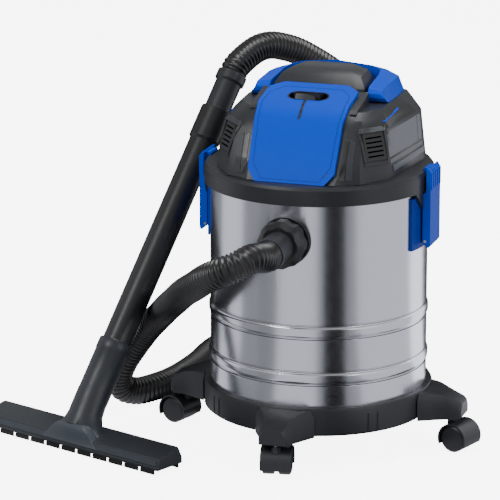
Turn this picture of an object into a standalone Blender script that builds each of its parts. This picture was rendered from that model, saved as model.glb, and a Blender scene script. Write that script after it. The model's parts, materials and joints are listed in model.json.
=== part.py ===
"""Shop vacuum: steel drum on a castered base, motor head, suction hose, wand and floor nozzle.

Metres, +Z up. The origin is the centre of the base's flat underside, and the inlet faces -Y.
"""
import math

import bmesh
import bpy
from mathutils import Matrix, Vector

GAP = 0.0003  # between neighbouring pieces
ROUND = 48  # sides of the large turned pieces
SMALL_ROUND = 20  # sides of pins, shafts and wheels

# Drum and base
DRUM_RADIUS = 0.160
DRUM_HEIGHT = 0.3525
DRUM_WALL = 0.0015
BEAD_HEIGHTS = (0.086, 0.155)  # above the drum's underside
BEAD_DEPTH = 0.0025
BEAD_HALF = 0.006
PLATE_THICKNESS = 0.005
BASE_RING_WALL = 0.0095
BASE_RING_HEIGHT = 0.042
DRUM_SEAT = 0.0005  # radial clearance of the drum in the base ring
LEG_REACH = 0.0655  # from the drum wall to the leg's end
LEG_TOP = 0.040
LEG_HALF_WIDTH = 0.0225
LEG_ROOT = 0.004  # into the ring
LEG_SHOULDER = 0.010  # height of the leg's upper bevel
LEG_BEVEL = 0.006
RING_CHAMFER = 0.004
DRUM_CORNER = 0.006
GASKET_INSIDE = 0.004  # into the drum from its wall
GASKET_OUTSIDE = 0.0012

# Casters
WHEEL_RADIUS = 0.020
WHEEL_WIDTH = 0.0185
HOOD_CLEARANCE = 0.0012
HOOD_WALL = 0.0024
HOOD_WEB = 0.006
HOOD_WIDTH = 0.0455
AXLE_RADIUS = 0.0025
STEM_RADIUS = 0.004
STEM_SHOWN = 0.0064
STEM_DEPTH = 0.022
STEM_INSET = 0.0185  # from the leg's end to the stem
HOOD_SKEW = 0.0002  # web to wheel space
WHEEL_GAP = 0.0006  # wheel to the web
AXLE_END_GAP = 0.001
AXLE_SHARE = 0.8  # of the wheel's width
BOSS_WALL = 0.003
TREAD_ROUND = 0.003
CASTER_TRAIL = 0.0125
LEG_HEADINGS = {"front": -90.0, "right": 0.0, "back": 90.0, "left": 180.0}
TRAIL_HEADINGS = {"front": 100.0, "right": -17.0, "back": 70.0, "left": 163.0}

# Inlet
INLET_DROP = 0.0678  # inlet axis, below the drum's top
CUFF_RADIUS = 0.0225
CUFF_WALL = 0.003
CUFF_LENGTH = 0.088  # from the drum wall to the hose
SOCKET_WALL = 0.0035
FLANGE_RADIUS = 0.036
FLANGE_THICKNESS = 0.008
COLLAR_RADIUS = 0.0345
COLLAR_LOBE = 0.0015
COLLAR_LENGTH = 0.029
SOCKET_INSIDE = 0.028  # reach of the socket inside the drum wall
SOCKET_SHOULDER = 0.012  # its thick part inside the drum wall
NECK_SHOWN = 0.012  # neck in front of the flange
STOP_RING = 0.003  # height and width of the cuff's stop ring
FLARE = 0.0015  # hose seat over the hose
FLARE_LENGTH = 0.013
FLARE_TAPER = 0.003
COLLAR_CHAMFER = 0.004
COLLAR_NOSE = 0.007
COLLAR_SIDES = 24
COLLAR_LOBES = 8

# Lid
RIM_WALL = 0.009
RIM_HEIGHT = 0.0255
SKIRT_DEPTH = 0.0185
LID_SHOULDER = 0.0025
LID_PLATE = 0.006
GASKET_HEIGHT = 0.0034
SKIRT_CLEARANCE = 0.0015
FAN_OPENING = 0.060
RIM_CHAMFER = 0.003
RIM_SLOPE = 0.011  # from the rim's edge to the flat top
LIP_WALL = 0.0025  # guide lip inside the drum
LIP_DROP = 0.007
GUSSET_INSET = 0.0004
GUSSET_WIDTH = 0.0195
GUSSET_HEIGHT = 0.025

# Latches
BRACKET_THICKNESS = 0.0037
BRACKET_HALF_WIDTH = 0.050
BRACKET_HEIGHT = 0.077
LATCH_HALF_WIDTH = 0.027
LATCH_CHEEK = 0.005
LATCH_OUT = 0.0165  # outer face, from the drum wall
LATCH_PIVOT_OUT = 0.0085  # pivot axis, from the drum wall
LATCH_PIVOT_DROP = 0.075  # pivot axis, below the rim's lower edge
LATCH_PIN_RADIUS = 0.0022
LUG_RADIUS = 0.0036
LATCH_RISE = 0.0070  # top of the latch above the rim
NOSE_HALF_WIDTH = 0.015
NOSE_CLEARANCE = 0.0006
PIVOT_FOOT = 0.009  # latch, below its pivot
BRACKET_FOOT = 0.010  # bracket, below the pivot
LUG_SIDE_GAP = 0.004
PIN_INSET = 0.0008

# Motor head
PANEL_THICKNESS = 0.0055
SHELL_WALL = 0.004
BROW_REAR = -0.018  # rear end of the step under the panel's top
HANDLE_PIN_RADIUS = 0.003
PIN_HEAD = (0.0605, 0.0630)  # from the centre plane
PIN_HEAD_RIM = 0.001
PIN_END = 0.0950
COVER_WALL = 0.003
SWITCH_HALF_LENGTH = 0.031
SWITCH_HALF_WIDTH = 0.0145
SWITCH_DEPTH = 0.0115
CUP_WALL = 0.002
RIDGE_HEIGHT = 0.0050
RIDGE_HALF = 0.0012
ROCKER_HALF = 0.020
ROCKER_TILT = 8.0
GRILLE_WIDTH = 0.036
GRILLE_HEIGHT = 0.040
GRILLE_THICKNESS = 0.005
GRILLE_PROUD = 0.0010
GRILLE_MARGIN = 0.004
GRILLE_SLOT_HALF = 0.0012
GLAND_RADIUS = 0.009
GLAND_GROOVE = 0.003

# Motor, fan and filter
SHAFT_RADIUS = 0.004
BEARING_RADIUS = 0.011
MOTOR_RADIUS = 0.045
MOTOR_HEIGHT = 0.065
FAN_HOUSING_RADIUS = 0.057
FAN_HOUSING_DROP = 0.0265  # below the lid's top
FAN_EYE = 0.028
FLANGE_PLATE = 0.003
HOUSING_FLANGE = 0.016
CAN_FLANGE = 0.014
CAN_WALL = 0.002
BEARING_WIDTH = 0.0036
IMPELLER_RADIUS = 0.048
FILTER_RADIUS = 0.066
FILTER_DROP = 0.090
SLEEVE_THICKNESS = 0.008
FLOAT_RADIUS = 0.046
FLOAT_STROKE = 0.020
CAGE_WALL = 0.0025
CAGE_FLANGE = 0.018
CAGE_PLATE = 0.003
CAGE_DRAIN = 0.012
CAGE_SLOT_HALF = 0.012
FLOAT_CHAMFER = 0.004

# Hose, wand and nozzle
HOSE_RADIUS = 0.0215
HOSE_CUFF_LENGTH = 0.062
HOSE_CUFF_RADIUS = 0.020
WAND_RADIUS = 0.0215
WAND_WALL = 0.0025
WAND_LENGTH = 0.425
WAND_SOCKET_LENGTH = 0.050
WAND_SOCKET_RADIUS = 0.0242
PLUG_LENGTH = 0.036
NOZZLE_WIDTH = 0.350
NOZZLE_AHEAD = 0.36  # share of its depth ahead of the neck
NOZZLE_SLOT = (-0.008, 0.014)  # front and back of the suction slot
SLOT_MARGIN = 0.014
SLOT_RISE = 0.0125
BLADE_INSET = 0.006
BLADE_HALF = 0.0017
BLADE_END = 0.0045
BLADE_SEAT = 0.0040
BLADE_ROOM = (0.0004, 0.0005, 0.0003)  # groove to blade: across, at the ends, above
NOZZLE_DEPTH = 0.057
NOZZLE_HEIGHT = 0.0185
NOZZLE_NECK_RADIUS = 0.0248
NOZZLE_NECK_LENGTH = 0.068
BLADE_DROP = 0.0075
FLOOR_CLEARANCE = 0.0003
HOSE_END = Vector((-0.1838, 0.1516, 0.4560))  # where the hose meets the wand's cuff
WAND_LEAN = Vector((0.2230, 0.5517, 0.8040)).normalized()

HOSE_ROUTE = (
    (-0.008, -0.299, 0.298), (-0.021, -0.315, 0.292), (-0.041, -0.320, 0.283), (-0.070, -0.3045, 0.267),
    (-0.101, -0.266, 0.243), (-0.138, -0.208, 0.214), (-0.179, -0.132, 0.177), (-0.208, -0.080, 0.151),
    (-0.235, -0.034, 0.125), (-0.266, -0.0075, 0.093), (-0.293, 0.005, 0.058), (-0.314, 0.012, 0.026),
    (-0.324, 0.021, 0.001), (-0.321, 0.034, -0.019), (-0.306, 0.050, -0.0274), (-0.287, 0.077, -0.0274),
    (-0.272, 0.119, -0.0274), (-0.262, 0.201, -0.0274), (-0.262, 0.296, -0.0274), (-0.244, 0.390, -0.0274),
    (-0.211, 0.460, -0.0274), (-0.163, 0.505, -0.0255), (-0.112, 0.520, -0.013), (-0.071, 0.514, 0.020),
    (-0.041, 0.494, 0.075), (-0.019, 0.460, 0.150), (-0.010, 0.423, 0.228), (-0.018, 0.384, 0.310),
    (-0.036, 0.354, 0.377), (-0.057, 0.334, 0.410), (-0.076, 0.312, 0.4355), (-0.095, 0.290, 0.455),
    (-0.116, 0.267, 0.473), (-0.1325, 0.246, 0.483), (-0.148, 0.223, 0.489), (-0.162, 0.200, 0.486),
)

# Levels that follow from the sizes above
HOOD_RADIUS = WHEEL_RADIUS + HOOD_CLEARANCE + HOOD_WALL
FLOOR = -(WHEEL_RADIUS + HOOD_RADIUS + STEM_SHOWN)
DRUM_BOTTOM = PLATE_THICKNESS + GAP
DRUM_TOP = DRUM_BOTTOM + DRUM_HEIGHT
INLET_HEIGHT = DRUM_TOP - INLET_DROP
GASKET_BOTTOM = DRUM_TOP + GAP
LID_SEAT = GASKET_BOTTOM + GASKET_HEIGHT + GAP
RIM_RADIUS = DRUM_RADIUS + RIM_WALL
RIM_BOTTOM = LID_SEAT - SKIRT_DEPTH
RIM_TOP = RIM_BOTTOM + RIM_HEIGHT
LID_TOP = RIM_TOP + LID_SHOULDER
STEM_CIRCLE = DRUM_RADIUS + LEG_REACH - STEM_INSET
WIDEN = RIM_RADIUS - 0.169  # how far the head grows with the lid

# Head outline: half sections (x, y) from front to back, and their heights above the lid
PANEL_PROFILE = ((-0.1500, 0.0006), (-0.1410, 0.0161), (-0.1040, 0.0837), (-0.0790, 0.1027),
                 (-0.0300, 0.1132), (-0.0134, 0.1177))  # (y, height)
PANEL_HALF_WIDTHS = (0.0520, 0.0645, 0.0660, 0.0680, 0.0675, 0.0480)
HEAD_LEVELS = (0.0, 0.0287, 0.0687, 0.0837, 0.0927)
HEAD_SECTIONS = (
    ((0.0785, -0.1345), (0.0990, -0.1275), (0.1300, -0.0820), (0.1450, 0.0500), (0.1380, 0.0860),
     (0.1050, 0.1240), (0.0550, 0.1480)),
    ((0.0765, -0.1265), (0.0970, -0.1210), (0.1270, -0.0790), (0.1420, 0.0500), (0.1350, 0.0850),
     (0.1020, 0.1200), (0.0520, 0.1440)),
    ((0.0765, -0.1045), (0.0940, -0.1000), (0.1220, -0.0680), (0.1380, 0.0480), (0.1310, 0.0830),
     (0.0980, 0.1150), (0.0500, 0.1370)),
    ((0.0775, -0.0930), (0.0900, -0.0880), (0.1130, -0.0520), (0.1220, 0.0450), (0.1170, 0.0880),
     (0.0900, 0.1100), (0.0460, 0.1300)),
    ((0.0780, -0.0760), (0.0880, -0.0700), (0.1050, -0.0400), (0.1070, 0.0450), (0.1055, 0.0960),
     (0.0840, 0.1080), (0.0440, 0.1235)),
)
DECK = LID_TOP + HEAD_LEVELS[-1]
COVER_LEVELS = (0.0, 0.0180, 0.0330, 0.0408)
COVER_SECTIONS = (
    ((0.0560, -0.0120), (0.0700, -0.0040), (0.0690, 0.0450), (0.0640, 0.0760), (0.0480, 0.0860)),
    ((0.0550, -0.0110), (0.0690, -0.0030), (0.0680, 0.0450), (0.0630, 0.0740), (0.0470, 0.0840)),
    ((0.0480, 0.0020), (0.0600, 0.0090), (0.0580, 0.0450), (0.0540, 0.0660), (0.0400, 0.0750)),
    ((0.0330, 0.0170), (0.0430, 0.0240), (0.0420, 0.0450), (0.0380, 0.0560), (0.0280, 0.0620)),
)
HANDLE_PIVOT = (0.0015, DECK + 0.0105)  # (y, z)
# Handle sections: outer (x, y), inner (x, y), underside, outer top and inner top above the deck
HANDLE_STATIONS = (
    ((0.1010, -0.0078), (0.0750, -0.0078), 0.0075, 0.0135, 0.0135),
    ((0.1035, -0.0030), (0.0745, -0.0030), 0.0018, 0.0180, 0.0190),
    ((0.1040, 0.0015), (0.0745, 0.0015), GAP, 0.0200, 0.0225),
    ((0.1045, 0.0600), (0.0725, 0.0600), GAP, 0.0225, 0.0285),
    ((0.1020, 0.0930), (0.0680, 0.0830), GAP, 0.0215, 0.0300),
    ((0.0780, 0.1090), (0.0520, 0.0905), GAP, 0.0270, 0.0345),
    ((0.0000, 0.1180), (0.0000, 0.0925), GAP, 0.0335, 0.0385),
)
HANDLE_EDGE = 0.008  # the outer face leans in by this much

COLOURS = {
    "blue": ((0.000, 0.117, 0.578), 0.35, 0.0),
    "black": ((0.030, 0.033, 0.038), 0.50, 0.0),
    "grey": ((0.094, 0.107, 0.127), 0.50, 0.0),
    "dark": ((0.018, 0.019, 0.021), 0.45, 0.0),
    "steel": ((0.620, 0.630, 0.650), 0.22, 1.0),
    "zinc": ((0.550, 0.550, 0.560), 0.35, 1.0),
    "rubber": ((0.015, 0.015, 0.016), 0.80, 0.0),
    "filter": ((0.700, 0.680, 0.620), 0.90, 0.0),
    "ivory": ((0.720, 0.700, 0.640), 0.50, 0.0),
    "copper": ((0.500, 0.230, 0.110), 0.40, 1.0),
}


def paint(piece, colour):
    """Give a piece its own material."""
    base, rough, metal = COLOURS[colour]
    material = bpy.data.materials.new(piece.name)
    material.use_nodes = True
    shader = material.node_tree.nodes["Principled BSDF"]
    shader.inputs["Base Color"].default_value = (*base, 1.0)
    shader.inputs["Roughness"].default_value = rough
    shader.inputs["Metallic"].default_value = metal
    piece.data.materials.append(material)


def link(name, faces_mesh, place=None, colour=None, parent=None):
    """Put a bmesh in the scene as a named object, normals outward."""
    bmesh.ops.recalc_face_normals(faces_mesh, faces=faces_mesh.faces)
    mesh = bpy.data.meshes.new(name)
    faces_mesh.to_mesh(mesh)
    faces_mesh.free()
    mesh.shade_smooth()
    mesh.set_sharp_from_angle(angle=math.radians(30))
    piece = bpy.data.objects.new(name, mesh)
    bpy.context.scene.collection.objects.link(piece)
    if parent is not None:
        piece.parent = parent
    if place is not None:
        piece.matrix_local = place
    if colour is not None:
        paint(piece, colour)
    return piece


def lofted(loops):
    """Closed skin over loops of equal point count, capped at both ends."""
    mesh = bmesh.new()
    rings = [[mesh.verts.new(point) for point in loop] for loop in loops]
    for low, high in zip(rings, rings[1:]):
        for i in range(len(low)):
            j = (i + 1) % len(low)
            mesh.faces.new((low[i], low[j], high[j], high[i]))
    mesh.faces.new(list(reversed(rings[0])))
    mesh.faces.new(rings[-1])
    return mesh


def turned(profile, sides=ROUND):
    """Revolve a closed (radius, height) outline about Z."""
    mesh = bmesh.new()
    columns = []
    for radius, height in profile:
        if radius < 1e-6:
            columns.append([mesh.verts.new((0.0, 0.0, height))])
            continue
        turns = (2 * math.pi * i / sides for i in range(sides))
        columns.append([mesh.verts.new((radius * math.cos(a), radius * math.sin(a), height)) for a in turns])
    for here, there in zip(columns, columns[1:] + columns[:1]):
        if len(here) == 1 and len(there) == 1:
            continue
        for i in range(sides):
            j = (i + 1) % sides
            corners = [here[i % len(here)], here[j % len(here)], there[j % len(there)], there[i % len(there)]]
            mesh.faces.new(list(dict.fromkeys(corners)))
    return mesh


def tube(inner, outer, low, high, sides=ROUND):
    """A ring or sleeve about Z."""
    return turned(((outer, low), (outer, high), (inner, high), (inner, low)), sides)


def rod(radius, low, high, sides=SMALL_ROUND):
    """A solid cylinder about Z."""
    return turned(((0.0, low), (radius, low), (radius, high), (0.0, high)), sides)


def box(low, high):
    """A block between two corners."""
    corners = ((low[0], low[1]), (high[0], low[1]), (high[0], high[1]), (low[0], high[1]))
    return lofted([[(x, y, z) for x, y in corners] for z in (low[2], high[2])])


def prism(outline, low, high, axis="Z"):
    """Extrude an outline: (x, y) along Z, (y, z) along X, or (x, z) along Y."""
    spread = {"Z": lambda a, b, t: (a, b, t), "X": lambda a, b, t: (t, a, b), "Y": lambda a, b, t: (a, t, b)}
    return lofted([[spread[axis](a, b, t) for a, b in outline] for t in (low, high)])


def combine(target, tool, operation):
    """Add, or take away, a tool object with an exact Boolean."""
    tool.hide_render = True
    tool.display_type = "WIRE"
    modifier = target.modifiers.new(tool.name, "BOOLEAN")
    modifier.operation = operation
    modifier.solver = "EXACT"
    modifier.object = tool


def cut(target, label, mesh, place=None):
    """Cut a shape away from a piece."""
    combine(target, link(target.name + "_" + label, mesh, place, parent=target.parent), "DIFFERENCE")


def fuse(target, label, mesh, place=None):
    """Mould a shape onto a piece."""
    combine(target, link(target.name + "_" + label, mesh, place, parent=target.parent), "UNION")


def empty(name, place, parent=None):
    """A joint's frame: pieces parented to it have their origin on its axis."""
    frame = bpy.data.objects.new(name, None)
    bpy.context.scene.collection.objects.link(frame)
    frame.parent = parent
    frame.matrix_local = place
    return frame


def turn(degrees, axis="Z"):
    """Rotation matrix."""
    return Matrix.Rotation(math.radians(degrees), 4, axis)


def along(direction, origin=(0.0, 0.0, 0.0)):
    """Frame whose Z axis runs along a direction, with its X axis level."""
    z = Vector(direction).normalized()
    side = Vector((0.0, 0.0, 1.0)).cross(z)
    x = side.normalized() if side.length > 1e-6 else Vector((1.0, 0.0, 0.0))
    y = z.cross(x)
    frame = Matrix((x, y, z)).transposed().to_4x4()
    frame.translation = Vector(origin)
    return frame


def mirrored(half, height):
    """Full loop from the half section on the +X side."""
    right = [(x + WIDEN, y + math.copysign(WIDEN, y), height) for x, y in half]
    left = [(-x, y, z) for x, y, z in reversed(right)]
    return right + left


def inset(loop, distance):
    """Move each edge of a convex level loop inward."""
    count = len(loop)
    centre = sum((Vector(p[:2]) for p in loop), Vector((0.0, 0.0))) / count
    result = []
    for i in range(count):
        here, before, after = (Vector(loop[k][:2]) for k in (i, i - 1, (i + 1) % count))
        normals = []
        for start, end in ((before, here), (here, after)):
            edge = (end - start).normalized()
            normal = Vector((edge.y, -edge.x))
            if normal.dot(centre - here) < 0:
                normal = -normal
            normals.append(normal)
        bisector = (normals[0] + normals[1]).normalized()
        moved = here + bisector * distance / max(0.5, bisector.dot(normals[0]))
        result.append((moved.x, moved.y, loop[i][2]))
    return result


def shell(loops, wall):
    """A cap-shaped shell under lofted loops, open at its base."""
    inner = [inset(loop, wall) for loop in loops]
    inner = [[(x, y, z - (wall if k else 0.0)) for x, y, z in loop] for k, loop in enumerate(inner)]
    mesh = bmesh.new()
    outside = [[mesh.verts.new(p) for p in loop] for loop in loops]
    inside = [[mesh.verts.new(p) for p in loop] for loop in inner]
    walls = list(zip(outside, outside[1:])) + list(zip(inside, inside[1:])) + [(outside[0], inside[0])]
    for low, high in walls:
        for i in range(len(low)):
            j = (i + 1) % len(low)
            mesh.faces.new((low[i], low[j], high[j], high[i]))
    mesh.faces.new(outside[-1])
    mesh.faces.new(list(reversed(inside[-1])))
    return mesh


def offset_path(points, distance):
    """Move a (y, z) polyline to its right-hand side."""
    path = [Vector(p) for p in points]
    moved = []
    for i, point in enumerate(path):
        edges = [path[k + 1] - path[k] for k in (i - 1, i) if 0 <= k < len(path) - 1]
        normals = [Vector((e.y, -e.x)).normalized() for e in edges]
        bisector = sum(normals, Vector((0.0, 0.0))).normalized()
        moved.append(point + bisector * distance / bisector.dot(normals[0]))
    return moved


def clear_scene():
    """Start from an empty scene."""
    for item in list(bpy.data.objects):
        bpy.data.objects.remove(item, do_unlink=True)


# ---------------------------------------------------------------- drum and base


def build_base():
    """Round floor plate with a ring wall and four caster legs."""
    inner = DRUM_RADIUS + DRUM_SEAT
    outer = DRUM_RADIUS + BASE_RING_WALL
    profile = ((0.0, 0.0), (outer - 0.005, 0.0), (outer, RING_CHAMFER),
               (outer, BASE_RING_HEIGHT - RING_CHAMFER),
               (outer - 0.002, BASE_RING_HEIGHT), (inner, BASE_RING_HEIGHT), (inner, PLATE_THICKNESS),
               (0.0, PLATE_THICKNESS))
    base = link("base", turned(profile), colour="black")
    for side, heading in LEG_HEADINGS.items():
        fuse(base, "leg_" + side, leg_shape(), turn(heading))
    for side, heading in LEG_HEADINGS.items():
        spot = turn(heading) @ Matrix.Translation((STEM_CIRCLE, 0.0, 0.0))
        cut(base, "stem_hole_" + side, rod(STEM_RADIUS + GAP, -0.01, STEM_DEPTH + GAP), spot)


def leg_shape():
    """A leg along +X, wide at the ring and sloping to its end."""
    end = DRUM_RADIUS + LEG_REACH
    start = DRUM_RADIUS + BASE_RING_WALL - LEG_ROOT
    stations = ((start, LEG_HALF_WIDTH * 2.0, 0.0, LEG_TOP),
                (start + 0.016, LEG_HALF_WIDTH * 1.6, 0.0, LEG_TOP),
                (end - 0.022, LEG_HALF_WIDTH * 1.08, 0.0, LEG_TOP - 0.006),
                (end - 0.005, LEG_HALF_WIDTH, 0.0, LEG_TOP - 0.013),
                (end, LEG_HALF_WIDTH - 0.003, 0.003, LEG_TOP - 0.017))
    loops = []
    for x, half, low, high in stations:
        loops.append([(x, -half, low), (x, half, low), (x, half, high - LEG_SHOULDER),
                      (x, half - LEG_BEVEL, high),
                      (x, -half + LEG_BEVEL, high), (x, -half, high - LEG_SHOULDER)])
    return lofted(loops)


def build_drum():
    """Thin steel drum with two rolled beads and a hole for the inlet."""
    outer = [(0.0, DRUM_BOTTOM), (DRUM_RADIUS - DRUM_CORNER, DRUM_BOTTOM),
             (DRUM_RADIUS, DRUM_BOTTOM + DRUM_CORNER)]
    for height in BEAD_HEIGHTS:
        middle = DRUM_BOTTOM + height
        outer += [(DRUM_RADIUS, middle - BEAD_HALF), (DRUM_RADIUS + BEAD_DEPTH, middle - BEAD_HALF / 2),
                  (DRUM_RADIUS + BEAD_DEPTH, middle + BEAD_HALF / 2), (DRUM_RADIUS, middle + BEAD_HALF)]
    outer.append((DRUM_RADIUS, DRUM_TOP))
    inner = DRUM_RADIUS - DRUM_WALL
    profile = outer + [(inner, DRUM_TOP), (inner, DRUM_BOTTOM + 0.0065),
                       (inner - 0.005, DRUM_BOTTOM + DRUM_WALL),
                       (0.0, DRUM_BOTTOM + DRUM_WALL)]
    drum = link("drum", turned(profile), colour="steel")
    hole = rod(CUFF_RADIUS + SOCKET_WALL + 2 * GAP, DRUM_RADIUS - 0.03, DRUM_RADIUS + 0.03, 24)
    cut(drum, "inlet_hole", hole, inlet_frame())
    link("drum_gasket", tube(DRUM_RADIUS - GASKET_INSIDE, DRUM_RADIUS + GASKET_OUTSIDE, GASKET_BOTTOM,
                             GASKET_BOTTOM + GASKET_HEIGHT), colour="rubber")


# ---------------------------------------------------------------- inlet


def inlet_frame():
    """Frame on the inlet's axis: its Z runs out of the drum, and z = 0 is the drum's axis."""
    return along((0.0, -1.0, 0.0), (0.0, 0.0, INLET_HEIGHT))


def build_inlet():
    """Socket through the drum wall, hose cuff in it and the turning lock collar."""
    bore = CUFF_RADIUS + GAP
    neck = bore + SOCKET_WALL
    face = DRUM_RADIUS + FLANGE_THICKNESS
    profile = ((bore, DRUM_RADIUS - SOCKET_INSIDE), (neck - GAP, DRUM_RADIUS - SOCKET_INSIDE),
               (neck - GAP, DRUM_RADIUS - SOCKET_SHOULDER),
               (FLANGE_RADIUS, DRUM_RADIUS - SOCKET_SHOULDER), (FLANGE_RADIUS, face), (neck, face),
               (neck, face + NECK_SHOWN),
               (bore, face + NECK_SHOWN))
    socket = link("inlet_socket", turned(profile, 32), inlet_frame(), "black")
    cut(socket, "saddle", tube(0.100, DRUM_RADIUS + GAP, INLET_HEIGHT - 0.06, INLET_HEIGHT + 0.06, 96))
    fuse(socket, "spigot", tube(bore, neck - GAP, DRUM_RADIUS - SOCKET_INSIDE, face - 0.001, 32),
         inlet_frame())
    cuff = link("inlet_cuff", cuff_shape(face), inlet_frame(), "black")
    frame = empty("collar_axis", inlet_frame())
    collar = link("lock_collar", collar_shape(face), colour="black", parent=frame)
    cut(collar, "neck_space", rod(neck + GAP, face - 0.01, face + 0.016, 32))
    cut(collar, "cuff_space", rod(CUFF_RADIUS + GAP, face - 0.01, face + 0.06, 32))


def cuff_shape(face):
    """Hose cuff: a plug in the socket, a stop ring, a plain sleeve and a flared hose seat."""
    inner = CUFF_RADIUS - CUFF_WALL
    end = DRUM_RADIUS + CUFF_LENGTH
    ring = face + NECK_SHOWN + GAP
    flare = HOSE_RADIUS + FLARE
    profile = ((inner, DRUM_RADIUS - SOCKET_SHOULDER), (CUFF_RADIUS, DRUM_RADIUS - SOCKET_SHOULDER),
               (CUFF_RADIUS, ring),
               (CUFF_RADIUS + STOP_RING, ring), (CUFF_RADIUS + STOP_RING, ring + STOP_RING),
               (CUFF_RADIUS, ring + STOP_RING),
               (CUFF_RADIUS, end - FLARE_LENGTH - FLARE_TAPER), (flare, end - FLARE_LENGTH), (flare, end),
               (inner, end))
    return turned(profile, 28)


def collar_shape(face):
    """Eight-sided collar with small lobes, solid until its bores are cut."""
    loops = []
    for height, shrink in ((face + GAP, COLLAR_CHAMFER), (face + COLLAR_CHAMFER, 0.0),
                           (face + COLLAR_LENGTH - 0.008, 0.0),
                           (face + COLLAR_LENGTH, COLLAR_NOSE)):
        loop = []
        for i in range(COLLAR_SIDES):
            angle = 2 * math.pi * (i + 0.5) / COLLAR_SIDES
            radius = COLLAR_RADIUS + COLLAR_LOBE * math.cos(COLLAR_LOBES * angle) - shrink
            loop.append((radius * math.cos(angle), radius * math.sin(angle), height))
        loops.append(loop)
    return lofted(loops)


# ---------------------------------------------------------------- casters


def build_caster(side):
    """Twin-wheel swivel caster under one leg."""
    leg = turn(LEG_HEADINGS[side]) @ Matrix.Translation((STEM_CIRCLE, 0.0, 0.0))
    swivel = empty(side + "_swivel", Matrix.Translation(leg.translation) @ turn(TRAIL_HEADINGS[side]))
    top = FLOOR + WHEEL_RADIUS + HOOD_RADIUS + 0.0015
    space = WHEEL_RADIUS + HOOD_CLEARANCE
    stem_low = FLOOR + WHEEL_RADIUS + math.sqrt(space ** 2 - (CASTER_TRAIL - STEM_RADIUS) ** 2)
    link(side + "_caster_stem", rod(STEM_RADIUS, stem_low, STEM_DEPTH - 0.001), colour="zinc", parent=swivel)
    axle_frame = Matrix.Translation((CASTER_TRAIL, 0.0, FLOOR + WHEEL_RADIUS)) @ turn(-90, "X")
    wheels = empty(side + "_axle_line", axle_frame, swivel)
    hood = link(side + "_caster_hood", hood_band(), axle_frame, "black", swivel)
    fuse(hood, "web", hood_web(), axle_frame)
    fuse(hood, "boss", rod(STEM_RADIUS + BOSS_WALL, stem_low - 0.004, top), Matrix())
    side_gap = HOOD_WEB / 2 + HOOD_SKEW
    for label, low, high in (("a", side_gap, HOOD_WIDTH), ("b", -HOOD_WIDTH, -side_gap)):
        cut(hood, "wheel_space_" + label, rod(space - 0.0004, low, high, 44), axle_frame)
    cut(hood, "stem_hole", rod(STEM_RADIUS + GAP, stem_low - GAP, top + 0.01), Matrix())
    cut(hood, "axle_hole", rod(AXLE_RADIUS + GAP, -0.02, 0.02), axle_frame)
    half_axle = HOOD_WEB / 2 + AXLE_END_GAP + WHEEL_WIDTH * AXLE_SHARE
    link(side + "_caster_axle", rod(AXLE_RADIUS, -half_axle, half_axle, 16), colour="zinc", parent=wheels)
    for name, flip in (("_wheel_a", 0.0), ("_wheel_b", 180.0)):
        link(side + name, wheel_shape(), turn(flip, "X"), "dark", wheels)


def hood_band():
    """Curved guard over both wheels; the axle runs along Z and the floor is towards +Y."""
    inner = WHEEL_RADIUS + HOOD_CLEARANCE
    steps = [math.radians(-205 + 230 * i / 16) for i in range(17)]
    outline = [(HOOD_RADIUS * math.cos(a), HOOD_RADIUS * math.sin(a)) for a in steps]
    outline += [(inner * math.cos(a), inner * math.sin(a)) for a in reversed(steps)]
    return prism(outline, -HOOD_WIDTH / 2, HOOD_WIDTH / 2)


def hood_web():
    """Plate between the wheels that carries the axle."""
    radius = WHEEL_RADIUS + HOOD_CLEARANCE + HOOD_WALL / 2
    steps = [math.radians(-200 + 220 * i / 12) for i in range(13)]
    outline = [(radius * math.cos(a), radius * math.sin(a)) for a in steps]
    return prism(outline, -HOOD_WEB / 2, HOOD_WEB / 2)


def wheel_shape():
    """One wheel with a slightly domed outer face, bored blind for the axle."""
    low = HOOD_WEB / 2 + WHEEL_GAP
    high = low + WHEEL_WIDTH
    bore = AXLE_RADIUS + GAP
    deep = HOOD_WEB / 2 + AXLE_END_GAP + WHEEL_WIDTH * AXLE_SHARE + GAP
    profile = ((bore, low), (WHEEL_RADIUS - 0.001, low), (WHEEL_RADIUS, low + 0.001),
               (WHEEL_RADIUS, high - TREAD_ROUND), (WHEEL_RADIUS - TREAD_ROUND, high - 0.001), (0.0, high),
               (0.0, deep),
               (bore, deep))
    return turned(profile, 24)


# ---------------------------------------------------------------- lid and latches


def latch_points():
    """Nose of the latch and the lid's keeper ramp, as (x, z) for the +X side."""
    foot = RIM_BOTTOM + 0.003
    ramp = [(RIM_RADIUS + 0.0005, foot), (RIM_RADIUS - 0.0036, foot + 0.014),
            (RIM_RADIUS - 0.0102, foot + 0.0325)]
    return ramp


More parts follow.
